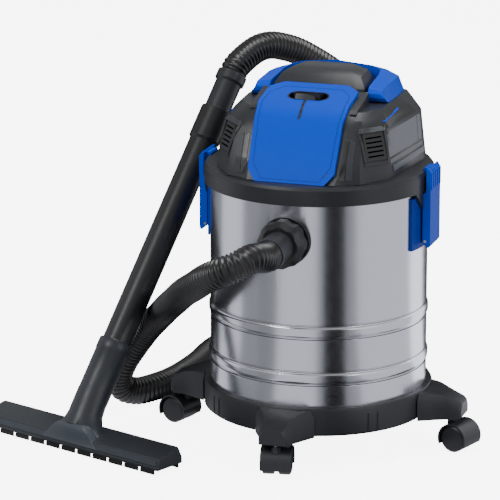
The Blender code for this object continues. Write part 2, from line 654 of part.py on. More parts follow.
def build_lid():
    """Turned lid: rim skirt over the drum, plate with the fan opening, latch notches and gussets."""
    skirt = DRUM_RADIUS + SKIRT_CLEARANCE
    lip = DRUM_RADIUS - DRUM_WALL - 0.003
    profile = ((RIM_RADIUS, RIM_BOTTOM), (RIM_RADIUS, RIM_TOP - RIM_CHAMFER),
               (RIM_RADIUS - RIM_CHAMFER, RIM_TOP + LID_SHOULDER * 0.5),
               (RIM_RADIUS - RIM_SLOPE, LID_TOP), (FAN_OPENING, LID_TOP), (FAN_OPENING, LID_TOP - LID_PLATE),
               (lip - LIP_WALL, LID_TOP - LID_PLATE), (lip - LIP_WALL, LID_SEAT - LIP_DROP),
               (lip, LID_SEAT - LIP_DROP),
               (lip, LID_SEAT), (skirt, LID_SEAT), (skirt, RIM_BOTTOM))
    lid = link("lid", turned(profile), colour="black")
    ramp = latch_points()
    notch = ramp + [(ramp[-1][0], LID_TOP + 0.02), (RIM_RADIUS + 0.02, LID_TOP + 0.02),
                    (RIM_RADIUS + 0.02, ramp[0][1])]
    half = NOSE_HALF_WIDTH + 0.0008
    for side, heading in (("right", 0.0), ("left", 180.0)):
        cut(lid, "notch_" + side, prism(notch, -half, half, "Y"), turn(heading))
        for label, sign in (("a", 1.0), ("b", -1.0)):
            inner = sign * (LATCH_HALF_WIDTH + 0.0015)
            outline = ((inner, RIM_BOTTOM + 0.004), (inner + sign * GUSSET_WIDTH, RIM_BOTTOM + 0.004),
                       (inner + sign * GUSSET_WIDTH, RIM_BOTTOM - 0.002), (inner, RIM_BOTTOM - GUSSET_HEIGHT))
            low = DRUM_RADIUS + BRACKET_THICKNESS + 0.0008
            gusset = prism(outline, low - 0.012, RIM_RADIUS - GUSSET_INSET, "X")
            piece = link("gusset_" + side + label, gusset, turn(heading))
            combine(piece, gusset_keep("gusset_keep_" + side + label, low), "INTERSECT")
            combine(lid, piece, "UNION")


def gusset_keep(name, low):
    """Round band that gives the gussets the rim's curve."""
    return link(name, tube(low, RIM_RADIUS - GUSSET_INSET, RIM_BOTTOM - 0.04, RIM_BOTTOM + 0.02, ROUND))


def build_latch(side, heading):
    """Bracket on the drum, its pin, and the latch that hooks over the lid's rim."""
    place = turn(heading)
    pivot_x = DRUM_RADIUS + LATCH_PIVOT_OUT
    pivot_z = RIM_BOTTOM - LATCH_PIVOT_DROP
    face = DRUM_RADIUS + BRACKET_THICKNESS
    low = pivot_z - BRACKET_FOOT
    high = low + BRACKET_HEIGHT
    bracket = link("latch_bracket_" + side, tube(DRUM_RADIUS + GAP, face, low, high, 96), colour="blue")
    keep = box((0.1, -BRACKET_HALF_WIDTH, low - 0.01), (0.2, BRACKET_HALF_WIDTH, high + 0.01))
    combine(bracket, link("bracket_keep_" + side, keep, place), "INTERSECT")
    lug = LATCH_HALF_WIDTH - LATCH_CHEEK - LUG_SIDE_GAP
    across = Matrix.Translation((pivot_x, 0.0, pivot_z)) @ turn(90, "X")
    half = LUG_RADIUS - 0.0002
    fuse(bracket, "lug", box((face - 0.002, -lug, pivot_z - half), (pivot_x, lug, pivot_z + half)), place)
    fuse(bracket, "lug_end", rod(LUG_RADIUS, -lug, lug, SMALL_ROUND), place @ across)
    hole = LATCH_PIN_RADIUS + GAP
    cut(bracket, "pin_hole", rod(hole, -0.04, 0.04), place @ across)
    reach = LATCH_HALF_WIDTH - PIN_INSET
    link("latch_pin_" + side, rod(LATCH_PIN_RADIUS, -reach, reach, 16), place @ across, "zinc")
    pivot = empty("latch_axis_" + side, place @ Matrix.Translation((pivot_x, 0.0, pivot_z)))
    home = Matrix.Translation((-pivot_x, 0.0, -pivot_z))
    latch = link("latch_" + side, latch_body(pivot_x, pivot_z), home, "blue", pivot)
    room = LATCH_HALF_WIDTH - LATCH_CHEEK
    outer = DRUM_RADIUS + LATCH_OUT
    channel = box((outer - 0.06, -room, pivot_z - 0.02), (outer - 0.0040, room, RIM_BOTTOM + 0.0025))
    cut(latch, "channel", channel, home)
    fuse(latch, "nose", latch_nose(outer), home)
    cut(latch, "pin_hole", rod(hole, -0.05, 0.05), home @ across)


def latch_body(pivot_x, pivot_z):
    """Side profile of the latch, with its inner foot cut away around the pivot."""
    outer = DRUM_RADIUS + LATCH_OUT
    back = pivot_x - 0.0036
    rim = RIM_RADIUS + 0.0008
    top = RIM_TOP + LATCH_RISE
    outline = ((pivot_x + 0.0042, pivot_z - PIVOT_FOOT), (outer - 0.002, pivot_z - PIVOT_FOOT),
               (outer, pivot_z - 0.006),
               (outer, top - 0.006), (outer - 0.004, top), (rim, top), (rim, RIM_BOTTOM - 0.001),
               (back, RIM_BOTTOM - 0.005), (back, pivot_z - 0.0018))
    return prism(outline, -LATCH_HALF_WIDTH, LATCH_HALF_WIDTH, "Y")


def latch_nose(outer):
    """Nose in the lid's keeper notch, with the tip over the rim."""
    ramp = [(x + NOSE_CLEARANCE, z) for x, z in latch_points()]
    top = RIM_TOP + LATCH_RISE
    tip_height = top - 0.0035
    part = (tip_height - ramp[1][1]) / (ramp[2][1] - ramp[1][1])
    tip = ramp[1][0] + (ramp[2][0] - ramp[1][0]) * part
    outline = [(ramp[0][0], ramp[0][1] + 0.0012), ramp[1], (tip, tip_height), (tip + 0.0010, top - 0.001),
               (outer - 0.005, top - 0.001), (outer - 0.004, ramp[0][1] + 0.0012)]
    return prism(outline, -NOSE_HALF_WIDTH, NOSE_HALF_WIDTH, "Y")


# ---------------------------------------------------------------- motor head


def panel_line(distance=0.0):
    """The blue panel's (y, z) profile, moved inward by a distance."""
    outer = [(y - WIDEN, LID_TOP + z) for y, z in PANEL_PROFILE]
    return offset_path(outer, distance)


def place_on(line, height):
    """The y of a rising (y, z) line at a height."""
    for a, b in zip(line, line[1:]):
        if height <= b.y or b is line[-1]:
            return a.x + (b.x - a.x) * (height - a.y) / (b.y - a.y)
    return line[-1].x


def panel_back(height):
    """Front-to-back place of the panel's seat at a height."""
    return place_on(panel_line(PANEL_THICKNESS + GAP), height)


def build_housing():
    """Faceted head shell with a brow under the panel's top and room for the head's fittings."""
    loops = []
    for level, half in zip(HEAD_LEVELS, HEAD_SECTIONS):
        height = LID_TOP + GAP + level
        front = (0.0655, panel_back(height) - math.copysign(WIDEN, panel_back(height)))
        loops.append(mirrored((front,) + half, height))
    housing = link("head_housing", shell(loops, SHELL_WALL), colour="black")
    seat = panel_line(PANEL_THICKNESS + 2 * GAP)
    low = DECK - 0.001
    above = [(p.x, p.y) for p in seat[:-1] if p.y > low]
    share = (BROW_REAR - seat[-2].x) / (seat[-1].x - seat[-2].x)
    rear_top = seat[-2].y + (seat[-1].y - seat[-2].y) * share
    outline = [(panel_back(low) + GAP, low)] + above + [(BROW_REAR, rear_top), (BROW_REAR, low)]
    fuse(housing, "brow", prism(outline, -0.080, 0.080, "X"))
    cut(housing, "switch_space", stadium(GAP, -0.020, 0.020), switch_frame())
    for side, sign in (("right", 1.0), ("left", -1.0)):
        grown = box((-GRILLE_WIDTH / 2 - GAP, -0.012, -GRILLE_HEIGHT / 2 - GAP),
                    (GRILLE_WIDTH / 2 + GAP, 0.020, GRILLE_HEIGHT / 2 + GAP))
        cut(housing, "vent_" + side, grown, grille_frame(sign))
    cut(housing, "gland_hole", rod(GLAND_RADIUS - GLAND_GROOVE + GAP, -0.02, 0.02, 16), gland_frame())


def build_panel():
    """Blue front panel bent over the head's front, with clipped corners and the switch opening."""
    outer = panel_line()
    inner = panel_line(PANEL_THICKNESS)
    inner[0] = Vector((place_on(inner, outer[0].y), outer[0].y))
    loops = []
    for o, i, half in zip(outer, inner, PANEL_HALF_WIDTHS):
        loops.append([(-half, o.x, o.y), (half, o.x, o.y), (half, i.x, i.y), (-half, i.x, i.y)])
    panel = link("front_panel", lofted(loops), colour="blue")
    cut(panel, "switch_hole", stadium(GAP, -0.02, 0.02), switch_frame())


def switch_frame():
    """Frame on the panel's upper slope, Z outward, centred on the switch."""
    a, b = panel_line()[3], panel_line()[4]
    slope = math.atan2(b.y - a.y, b.x - a.x)
    middle = (a + b) / 2
    return Matrix.Translation((0.0, middle.x, middle.y)) @ Matrix.Rotation(slope, 4, "X")


def stadium(grow, low, high, sides=10):
    """Slot-shaped block about Z, long along X."""
    radius = SWITCH_HALF_WIDTH + grow
    run = SWITCH_HALF_LENGTH - SWITCH_HALF_WIDTH
    outline = []
    for centre, start in ((run, -90.0), (-run, 90.0)):
        for i in range(sides + 1):
            angle = math.radians(start + 180.0 * i / sides)
            outline.append((centre + radius * math.cos(angle), radius * math.sin(angle)))
    return prism(outline, low, high)


def build_switch():
    """Recessed cup and the rocker in it."""
    frame = switch_frame()
    cup = link("switch_cup", stadium(0.0, -SWITCH_DEPTH, 0.0), frame, "black")
    cut(cup, "well", stadium(-CUP_WALL, -SWITCH_DEPTH + CUP_WALL, 0.01), frame)
    ridge_top = -SWITCH_DEPTH + RIDGE_HEIGHT
    fuse(cup, "ridge", box((-0.015, -RIDGE_HALF, -SWITCH_DEPTH + 0.001), (0.015, RIDGE_HALF, ridge_top)),
         frame)
    axis = empty("rocker_axis", frame @ Matrix.Translation((0.0, 0.0, ridge_top + GAP)))
    outline = ((-0.0085, 0.0012), (-0.003, 0.0), (0.003, 0.0), (0.0085, 0.0012), (0.0085, 0.0075),
               (0.0, 0.0095), (-0.0085, 0.0130))
    link("power_rocker", prism(outline, -ROCKER_HALF, ROCKER_HALF, "X"), turn(-ROCKER_TILT, "X"), "dark",
         axis)


def grille_frame(sign):
    """Frame on a corner facet: X along it, Y outward, Z up its slope."""
    low = [Vector((x + WIDEN, y - WIDEN, LID_TOP + HEAD_LEVELS[1])) for x, y in HEAD_SECTIONS[1][1:3]]
    high = [Vector((x + WIDEN, y - WIDEN, LID_TOP + HEAD_LEVELS[2])) for x, y in HEAD_SECTIONS[2][1:3]]
    middle = (low[0] + low[1] + high[0] + high[1]) / 4
    across = (low[1] + high[1] - low[0] - high[0]).normalized()
    up = (high[0] + high[1] - low[0] - low[1]).normalized()
    out = across.cross(up).normalized()
    up = out.cross(across)
    place = Matrix((across, out, up)).transposed().to_4x4()
    place.translation = middle
    flip = Matrix.Diagonal((sign, 1.0, 1.0, 1.0))
    return flip @ place @ Matrix.Diagonal((sign, 1.0, 1.0, 1.0))


def build_grille(side, sign):
    """Louvred vent set in a corner facet."""
    half_w, half_h = GRILLE_WIDTH / 2, GRILLE_HEIGHT / 2
    plate = box((-half_w, GRILLE_PROUD - GRILLE_THICKNESS, -half_h), (half_w, GRILLE_PROUD, half_h))
    grille = link("vent_grille_" + side, plate, grille_frame(sign), "black")
    for i in range(5):
        middle = -half_h + GRILLE_HEIGHT * (i + 1) / 6
        slot = box((-half_w + GRILLE_MARGIN, -0.02, middle - GRILLE_SLOT_HALF),
                   (half_w - GRILLE_MARGIN, 0.02, middle + GRILLE_SLOT_HALF))
        cut(grille, "slot_%d" % i, slot, grille_frame(sign))


def build_cover():
    """Crowned cover on the deck, with the handle's pins through its sides."""
    loops = []
    for level, half in zip(COVER_LEVELS, COVER_SECTIONS):
        loops.append([(x, y, z) for x, y, z in mirrored_plain(half, DECK + 2 * GAP + level)])
    cover = link("top_cover", shell(loops, COVER_WALL), colour="black")
    y, z = HANDLE_PIVOT
    for side, heading in (("right", 90.0), ("left", -90.0)):
        frame = Matrix.Translation((0.0, y, z)) @ turn(heading, "Y")
        cut(cover, "pin_hole_" + side, rod(HANDLE_PIN_RADIUS + GAP, 0.05, 0.09), frame)
        profile = ((0.0, PIN_HEAD[0]), (HANDLE_PIN_RADIUS + PIN_HEAD_RIM, PIN_HEAD[0]),
                   (HANDLE_PIN_RADIUS + PIN_HEAD_RIM, PIN_HEAD[1]),
                   (HANDLE_PIN_RADIUS, PIN_HEAD[1]), (HANDLE_PIN_RADIUS, PIN_END), (0.0, PIN_END))
        link("handle_pin_" + side, turned(profile, SMALL_ROUND), frame, "zinc")


def mirrored_plain(half, height):
    """Full loop from a half section that doesn't grow with the lid."""
    right = [(x, y, height) for x, y in half]
    return right + [(-x, y, z) for x, y, z in reversed(right)]


def build_handle():
    """Folding carry handle: a flat band around the cover, hinged at its front tips."""
    y, z = HANDLE_PIVOT
    pivot = empty("handle_axis", Matrix.Translation((0.0, y, z)))
    right = []
    for outer, inner, low, outer_top, inner_top in HANDLE_STATIONS:
        lean = Vector(outer) - (Vector(outer) - Vector(inner)).normalized() * HANDLE_EDGE
        right.append([(*outer, DECK + GAP + low), (*lean, DECK + outer_top), (*inner, DECK + inner_top),
                      (*inner, DECK + GAP + low)])
    left = [[(-px, py, pz) for px, py, pz in loop] for loop in reversed(right[:-1])]
    handle = link("carry_handle", lofted(right + left), Matrix.Translation((0.0, -y, -z)), "blue", pivot)
    cut(handle, "pin_bores", rod(HANDLE_PIN_RADIUS + GAP, -PIN_END - GAP, PIN_END + GAP), turn(90, "Y"))


def gland_frame():
    """Frame at the rear wall of the housing, Z backwards."""
    back = HEAD_SECTIONS[1][-1][1] + WIDEN
    return along((0.0, 1.0, 0.0), (0.0, back - 0.0015, LID_TOP + 0.030))


def build_gland():
    """Cord inlet with a collar inside and outside the rear wall."""
    radius = GLAND_RADIUS - GLAND_GROOVE
    profile = ((0.0, -0.009), (radius, -0.009), (radius, 0.0045), (GLAND_RADIUS, 0.0045),
               (GLAND_RADIUS, 0.010),
               (0.006, 0.022), (0.0035, 0.022), (0.0035, 0.004), (0.0, 0.004))
    link("cord_gland", turned(profile, 16), gland_frame(), "rubber")


# ---------------------------------------------------------------- motor, fan and filter


def build_motor():
    """Fan chamber through the lid, motor can on it, bearings, rotor, impeller and cooling fan."""
    flange = LID_TOP + GAP
    low = LID_TOP - FAN_HOUSING_DROP
    wall = CAN_WALL
    radius = FAN_HOUSING_RADIUS
    link("fan_housing", turned(((FAN_EYE, low), (radius, low), (radius, flange),
                                (radius + HOUSING_FLANGE, flange),
                                (radius + HOUSING_FLANGE, flange + FLANGE_PLATE),
                                (radius - wall, flange + FLANGE_PLATE),
                                (radius - wall, low + FLANGE_PLATE), (FAN_EYE, low + FLANGE_PLATE)), 36),
                                colour="black")
    can = flange + FLANGE_PLATE + GAP
    top = can + MOTOR_HEIGHT
    bore = BEARING_RADIUS + GAP
    link("motor_can", turned(((bore, can), (radius + CAN_FLANGE, can),
                              (radius + CAN_FLANGE, can + FLANGE_PLATE),
                              (MOTOR_RADIUS, can + FLANGE_PLATE), (MOTOR_RADIUS, top), (bore, top),
                              (bore, top - 0.004),
                              (MOTOR_RADIUS - wall, top - 0.004), (MOTOR_RADIUS - wall, can + 0.005),
                              (bore, can + 0.005)), 36), colour="zinc")
    for name, height in (("bearing_lower", can + 0.0003), ("bearing_upper", top - 0.0038)):
        link(name, tube(SHAFT_RADIUS + GAP, BEARING_RADIUS, height, height + BEARING_WIDTH, SMALL_ROUND),
             colour="zinc")
    shaft = rod_with_core(low + 0.004, top + 0.013, can + 0.0105, top - 0.012)
    link("motor_rotor", shaft, colour="copper")
    impeller = link("impeller", fan_hub(IMPELLER_RADIUS, low + 0.005, low + 0.007, low + 0.017),
                    colour="zinc")
    for i in range(7):
        vane = box((0.010, -0.0008, low + 0.006), (IMPELLER_RADIUS - 0.002, 0.0008, low + 0.017))
        fuse(impeller, "vane_%d" % i, vane, turn(360.0 * i / 7))
    blades = link("cooling_fan", fan_hub(0.012, top + 0.002, top + 0.010, top + 0.010), colour="ivory")
    for i in range(6):
        blade = box((0.010, -0.0010, -0.0035), (0.036, 0.0010, 0.0035))
        tilt = turn(360.0 * i / 6) @ Matrix.Translation((0.0, 0.0, top + 0.006)) @ turn(35, "X")
        fuse(blades, "blade_%d" % i, blade, tilt)


def rod_with_core(low, high, core_low, core_high):
    """Rotor: shaft with the wound core on it."""
    core = MOTOR_RADIUS - 0.012
    return turned(((0.0, low), (SHAFT_RADIUS, low), (SHAFT_RADIUS, core_low), (core, core_low),
                   (core, core_high),
                   (SHAFT_RADIUS, core_high), (SHAFT_RADIUS, high), (0.0, high)))


def fan_hub(radius, low, disc, high):
    """Hub on the shaft with a flat disc at its lower end."""
    bore = SHAFT_RADIUS + GAP
    if disc >= high:
        return tube(bore, radius, low, high, SMALL_ROUND)
    return turned(((bore, low), (radius, low), (radius, disc), (0.011, disc), (0.011, high), (bore, high)),
                  32)


def build_filter():
    """Slotted cage under the lid with its float, and the filter sleeve around it."""
    top = LID_TOP - LID_PLATE - GAP
    low = top - FILTER_DROP
    wall = CAGE_WALL
    cage = link("filter_cage", turned(((CAGE_DRAIN, low), (FILTER_RADIUS, low),
                                       (FILTER_RADIUS, top - CAGE_PLATE),
                                       (FILTER_RADIUS + CAGE_FLANGE, top - CAGE_PLATE),
                                       (FILTER_RADIUS + CAGE_FLANGE, top),
                                       (FILTER_RADIUS - wall, top), (FILTER_RADIUS - wall, low + CAGE_PLATE),
                                       (CAGE_DRAIN, low + CAGE_PLATE)), 36), colour="black")
    for i in range(3):
        slot = box((-0.1, -CAGE_SLOT_HALF, low + 0.010), (0.1, CAGE_SLOT_HALF, top - 0.018))
        cut(cage, "slot_%d" % i, slot, turn(60.0 * i))
    sleeve_top = top - CAGE_PLATE - GAP
    inner = FILTER_RADIUS + GAP
    link("filter_sleeve", tube(inner, inner + SLEEVE_THICKNESS, low + 0.004, sleeve_top, 36), colour="filter")
    seat = low + CAGE_PLATE + GAP
    height = top - FAN_HOUSING_DROP + LID_PLATE - GAP - FLOAT_STROKE - seat
    link("float", turned(((0.0, seat), (FLOAT_RADIUS - FLOAT_CHAMFER, seat), (FLOAT_RADIUS, seat + 0.005),
                          (FLOAT_RADIUS, seat + height - 0.003),
                          (FLOAT_RADIUS - FLOAT_CHAMFER, seat + height - 0.001),
                          (0.0, seat + height - 0.001)), 32), colour="ivory")


# ---------------------------------------------------------------- hose, wand and nozzle


def smooth_route(ends, count):
    """Evenly spaced points on a centripetal curve, from the second to the last but one of its points."""
    fine = []
    for a, b, c, d in zip(ends, ends[1:], ends[2:], ends[3:]):
        knots = [0.0]
        for p, q in ((a, b), (b, c), (c, d)):
            knots.append(knots[-1] + math.sqrt((q - p).length))
        for i in range(16):
            t = knots[1] + (knots[2] - knots[1]) * i / 16
            level = [a, b, c, d]
            for degree in (1, 2, 3):
                mixed = []
                for k in range(4 - degree):
                    left, right = (k, k + degree) if degree < 3 else (1, 2)
                    span = knots[right] - knots[left]
                    mixed.append(level[k] * (knots[right] - t) / span + level[k + 1] * (t - knots[left]) / span)
                level = mixed
            fine.append(level[0])
    fine.append(ends[-2])
    reach = [0.0]
    for p, q in zip(fine, fine[1:]):
        reach.append(reach[-1] + (q - p).length)
    result = []
    k = 0
    for i in range(count):
        target = reach[-1] * i / (count - 1)
        while k < len(reach) - 2 and reach[k + 1] < target:
            k += 1
        part = (target - reach[k]) / (reach[k + 1] - reach[k])
        result.append(fine[k].lerp(fine[k + 1], part))
    return result


def build_hose():
    """Hose from the inlet cuff, along the floor behind the drum and over to the wand."""
    start = Vector((0.0, -(DRUM_RADIUS + CUFF_LENGTH + GAP), INLET_HEIGHT))
    finish = HOSE_END + WAND_LEAN * GAP
    near_start = start + Vector((0.0, -0.010, 0.0))
    near_finish = finish + WAND_LEAN * 0.010
    route = [start, near_start] + [Vector(p) for p in HOSE_ROUTE] + [near_finish, finish]
    curve = bpy.data.curves.new("hose", "CURVE")
    curve.dimensions = "3D"
    curve.bevel_depth = HOSE_RADIUS
    curve.bevel_resolution = 3
    curve.use_fill_caps = True
    points = [start] + smooth_route(route, 76) + [finish]
    spline = curve.splines.new("POLY")
    spline.points.add(len(points) - 1)
    for spot, point in zip(spline.points, points):
        spot.co = (*point, 1.0)
    hose = bpy.data.objects.new("hose", curve)
    bpy.context.scene.collection.objects.link(hose)
    paint(hose, "dark")


def wand_frame():
    """Frame on the wand's axis: z = 0 is the hose's end, and Z runs up into the hose."""
    return along(WAND_LEAN, HOSE_END)


def build_wand():
    """Hose cuff plugged in the wand's socket, and the wand tube."""
    inner = HOSE_CUFF_RADIUS - 0.003
    flare = HOSE_RADIUS + FLARE
    plug = -HOSE_CUFF_LENGTH - PLUG_LENGTH
    cuff = ((inner, plug), (HOSE_CUFF_RADIUS, plug), (HOSE_CUFF_RADIUS, -FLARE_LENGTH - FLARE_TAPER),
            (flare, -FLARE_LENGTH), (flare, 0.0),
            (inner, 0.0))
    link("hose_cuff", turned(cuff, 28), wand_frame(), "black")
    mouth = -HOSE_CUFF_LENGTH
    socket_end = mouth - WAND_SOCKET_LENGTH
    low = mouth - WAND_LENGTH
    bore = WAND_RADIUS - WAND_WALL
    seat = HOSE_CUFF_RADIUS + GAP
    profile = ((bore, low), (WAND_RADIUS, low), (WAND_RADIUS, socket_end - 0.004),
               (WAND_SOCKET_RADIUS, socket_end),
               (WAND_SOCKET_RADIUS, mouth - 0.001), (WAND_SOCKET_RADIUS - 0.001, mouth), (seat, mouth),
               (seat, plug - GAP), (bore, plug - GAP - 0.002))
    link("wand_tube", turned(profile, 28), wand_frame(), "dark")


def nozzle_frame():
    """Frame on the floor under the neck: X along the nozzle, Y the way the wand leans."""
    low = wand_frame() @ Vector((0.0, 0.0, -HOSE_CUFF_LENGTH - WAND_LENGTH + PLUG_LENGTH - NOZZLE_NECK_LENGTH))
    level = FLOOR + BLADE_DROP + NOZZLE_HEIGHT
    foot = low + WAND_LEAN * ((level - low.z) / WAND_LEAN.z)
    lean = Vector((WAND_LEAN.x, WAND_LEAN.y, 0.0)).normalized()
    place = Matrix((Vector((lean.y, -lean.x, 0.0)), lean, Vector((0.0, 0.0, 1.0)))).transposed().to_4x4()
    place.translation = (foot.x, foot.y, FLOOR)
    return place


def build_nozzle():
    """Wide floor nozzle with a neck, a suction slot and two blade strips."""
    frame = nozzle_frame()
    half = NOZZLE_WIDTH / 2
    low = BLADE_DROP
    high = BLADE_DROP + NOZZLE_HEIGHT
    front, back = -NOZZLE_DEPTH * NOZZLE_AHEAD, NOZZLE_DEPTH * (1.0 - NOZZLE_AHEAD)
    outline = ((front, low), (back, low), (back, low + 0.010), (back - 0.012, high), (front + 0.010, high),
               (front, low + 0.011))
    body = link("nozzle_body", prism(outline, -half, half, "X"), frame, "black")
    hump = lofted([[(x, y, z) for x, y in ((-w, front + d), (w, front + d), (w, back - d), (-w, back - d))]
                   for z, w, d in ((low + 0.006, 0.055, 0.004), (high + 0.006, 0.034, 0.010))])
    fuse(body, "hump", hump, frame)
    axis = wand_frame()
    tip = -HOSE_CUFF_LENGTH - WAND_LENGTH + PLUG_LENGTH
    foot = (frame.inverted() @ axis).inverted() @ Vector((0.0, 0.0, BLADE_DROP + NOZZLE_HEIGHT))
    fuse(body, "neck", rod(NOZZLE_NECK_RADIUS, foot.z - 0.002, tip, 28), axis)
    cut(body, "floor_plane", box((-half, -0.2, -0.05), (half, 0.2, low)), frame)
    cut(body, "socket", rod(WAND_RADIUS + GAP, tip - PLUG_LENGTH - GAP, tip + 0.02, 28), axis)
    cut(body, "duct", rod(WAND_RADIUS - WAND_WALL, foot.z + 0.004, tip + 0.01, 20), axis)
    slot = box((-half + SLOT_MARGIN, NOZZLE_SLOT[0], -0.01),
               (half - SLOT_MARGIN, NOZZLE_SLOT[1], low + SLOT_RISE))
    cut(body, "slot", slot, frame)
    for name, centre in (("nozzle_blade_front", front + BLADE_INSET),
                         ("nozzle_blade_rear", back - BLADE_INSET)):
        width = BLADE_HALF + BLADE_ROOM[0]
        reach = half - BLADE_END + BLADE_ROOM[1]
        groove = box((-reach, centre - width, 0.0), (reach, centre + width, low + BLADE_SEAT + BLADE_ROOM[2]))
        cut(body, name, groove, frame)
        end = half - BLADE_END
        strip = box((-end, centre - BLADE_HALF, FLOOR_CLEARANCE),
                    (end, centre + BLADE_HALF, low + BLADE_SEAT))
        link(name, strip, frame, "rubber")


def main():
    clear_scene()
    build_base()
    build_drum()
    build_inlet()
    for side in LEG_HEADINGS:
        build_caster(side)
    build_lid()
    for side, heading in (("right", 0.0), ("left", 180.0)):
        build_latch(side, heading)
    build_housing()
    build_panel()
    build_switch()
    for side, sign in (("right", 1.0), ("left", -1.0)):
        build_grille(side, sign)
    build_cover()
    build_handle()
    build_gland()
    build_motor()
    build_filter()
    build_hose()
    build_wand()
    build_nozzle()


main()
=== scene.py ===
"""Visual model of the shop vacuum, built over its CAD frame.

Units are metres unless a name ends in _MM. The origin is the centre of the base's underside,
-Y is the machine's front and +Z is up.
"""
import bisect
import json
import logging
import math
from dataclasses import dataclass
from enum import Enum
from typing import Callable, Sequence

import bmesh
import bpy
from mathutils import Matrix, Vector
from mathutils.bvhtree import BVHTree


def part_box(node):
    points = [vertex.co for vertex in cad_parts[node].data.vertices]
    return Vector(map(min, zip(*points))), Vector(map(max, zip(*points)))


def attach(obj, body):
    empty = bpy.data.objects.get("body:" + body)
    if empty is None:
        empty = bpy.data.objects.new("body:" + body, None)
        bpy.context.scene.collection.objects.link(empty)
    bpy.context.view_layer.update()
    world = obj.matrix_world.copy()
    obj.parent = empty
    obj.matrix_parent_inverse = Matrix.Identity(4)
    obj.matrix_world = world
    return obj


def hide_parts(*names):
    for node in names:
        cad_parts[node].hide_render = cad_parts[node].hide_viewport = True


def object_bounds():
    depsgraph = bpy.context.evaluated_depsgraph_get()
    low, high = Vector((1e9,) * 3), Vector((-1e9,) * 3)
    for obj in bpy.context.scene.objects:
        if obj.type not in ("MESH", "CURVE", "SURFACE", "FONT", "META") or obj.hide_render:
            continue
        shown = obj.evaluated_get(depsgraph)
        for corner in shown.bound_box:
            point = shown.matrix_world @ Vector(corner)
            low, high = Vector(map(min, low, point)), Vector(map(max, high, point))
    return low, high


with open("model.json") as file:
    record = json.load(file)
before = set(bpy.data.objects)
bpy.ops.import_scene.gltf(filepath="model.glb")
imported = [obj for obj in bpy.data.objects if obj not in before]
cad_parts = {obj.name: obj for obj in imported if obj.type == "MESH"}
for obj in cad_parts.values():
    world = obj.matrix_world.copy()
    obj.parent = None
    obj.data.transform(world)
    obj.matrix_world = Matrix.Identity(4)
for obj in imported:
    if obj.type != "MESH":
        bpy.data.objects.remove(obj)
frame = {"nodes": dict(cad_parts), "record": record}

CAD_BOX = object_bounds()
LOG = logging.getLogger("shop_vacuum")
MM = 0.001
GAP = 0.3 * MM
CAST_FROM = 0.3  # distance from which rays are cast at the CAD surfaces
CAST_MISS = 0.15  # where a ray that hits nothing is taken to end
SMOOTH_ANGLE = 28.0  # degrees, over which a CAD edge stays sharp
WELD_REACH = 0.002 * MM
CLOUD_SCALE = 24.0  # colour varies over about 40 mm
SCUFF_SCALE = 90.0  # scuffs are about 10 mm long
BUMP_STRENGTH = 0.6

Point = tuple[float, float, float]
Loop = Sequence[Vector]


# ------------------------------------------------------------------------- materials


class Pattern(Enum):
    """How a surface is textured."""

    MOULDED = "fine random texture of moulded plastic"
    ROLLED = "hairlines round a rolled steel sheet"
    TURNED = "faint machining marks"
    WOVEN = "cloth weave"
    WOUND = "wire windings"


@dataclass(frozen=True)
class Finish:
    """One surface finish.

    Attributes:
        name: Material name.
        colour: Base colour as an sRGB hex string.
        roughness: Mean roughness.
        pattern: Kind of texture.
        metallic: Metallic value.
        grain_mm: Size of the texture's grain.
        depth_mm: Height of the texture.
        mottle: Share by which the colour varies over the piece.
        wear: How far scuffs change the roughness.
        gloss: Specular level under the colour.
    """

    name: str
    colour: str
    roughness: float
    pattern: Pattern = Pattern.MOULDED
    metallic: float = 0.0
    grain_mm: float = 0.7
    depth_mm: float = 0.03
    mottle: float = 0.10
    wear: float = 0.08
    gloss: float = 0.5


# Spark-eroded grain is about 0.1 mm in real moulds, rolling lines 0.03 mm, cloth threads 0.3 mm and
# the motor's wire 0.4 mm. All are drawn coarser, as each grain_mm says, because they would not show.

# Injection-moulded ABS: satin black whose fine grain spreads the highlights.
SHELL = Finish("moulded_abs_black", "#25282C", 0.40)
# ABS moulded against a smoother tool: deeper black with a slightly tighter highlight.
TRIM = Finish("smooth_moulded_abs_black", "#17191B", 0.34, depth_mm=0.015)
# Moulded ABS coloured grey: the lighter facets that break up the head's sides.
SIDE_GREY = Finish("moulded_abs_grey", "#4C5259", 0.42)
# Moulded ABS coloured charcoal: a half tone between the black shell and the grey facets.
SIDE_DARK = Finish("moulded_abs_charcoal", "#31353A", 0.40)
# Moulded ABS coloured through: one strong even blue with a soft, weak highlight.
BLUE = Finish("moulded_abs_blue", "#0048D4", 0.42, depth_mm=0.012, mottle=0.04, gloss=0.09)
# The same blue ABS darkened as painted shade where it turns from the light: the latch brackets and the panel
# line.
SHADED_BLUE = Finish("moulded_abs_blue_painted_shade", "#0038A6", 0.42, depth_mm=0.012, gloss=0.12)
# Moulded polypropylene: a little greyer and rougher than the ABS, with a grain that can be felt.
BASE = Finish("moulded_polypropylene_black", "#202226", 0.45, depth_mm=0.05)
# Moulded nylon wheels: hard, nearly smooth, dark grey.
WHEEL = Finish("moulded_nylon_grey", "#1E2023", 0.38)
# Extruded, corrugated polyethylene: glossy black, so that each rib catches a thin light.
HOSE = Finish("extruded_polyethylene_black", "#101112", 0.30, depth_mm=0.004, mottle=0.10, wear=0.04,
              gloss=0.7)
# Extruded polypropylene tube: black, with one long soft highlight.
WAND = Finish("extruded_polypropylene_black", "#1B1C1E", 0.36, depth_mm=0.02)
# Moulded polypropylene floor nozzle: dark blue-grey with a fine grain.
NOZZLE = Finish("moulded_polypropylene_slate", "#252A30", 0.40, depth_mm=0.04)
# The same moulding drawn paler on its raised facets: painted highlight where they face the light.
NOZZLE_LIT = Finish("moulded_polypropylene_slate_painted_highlight", "#3B424A", 0.42)
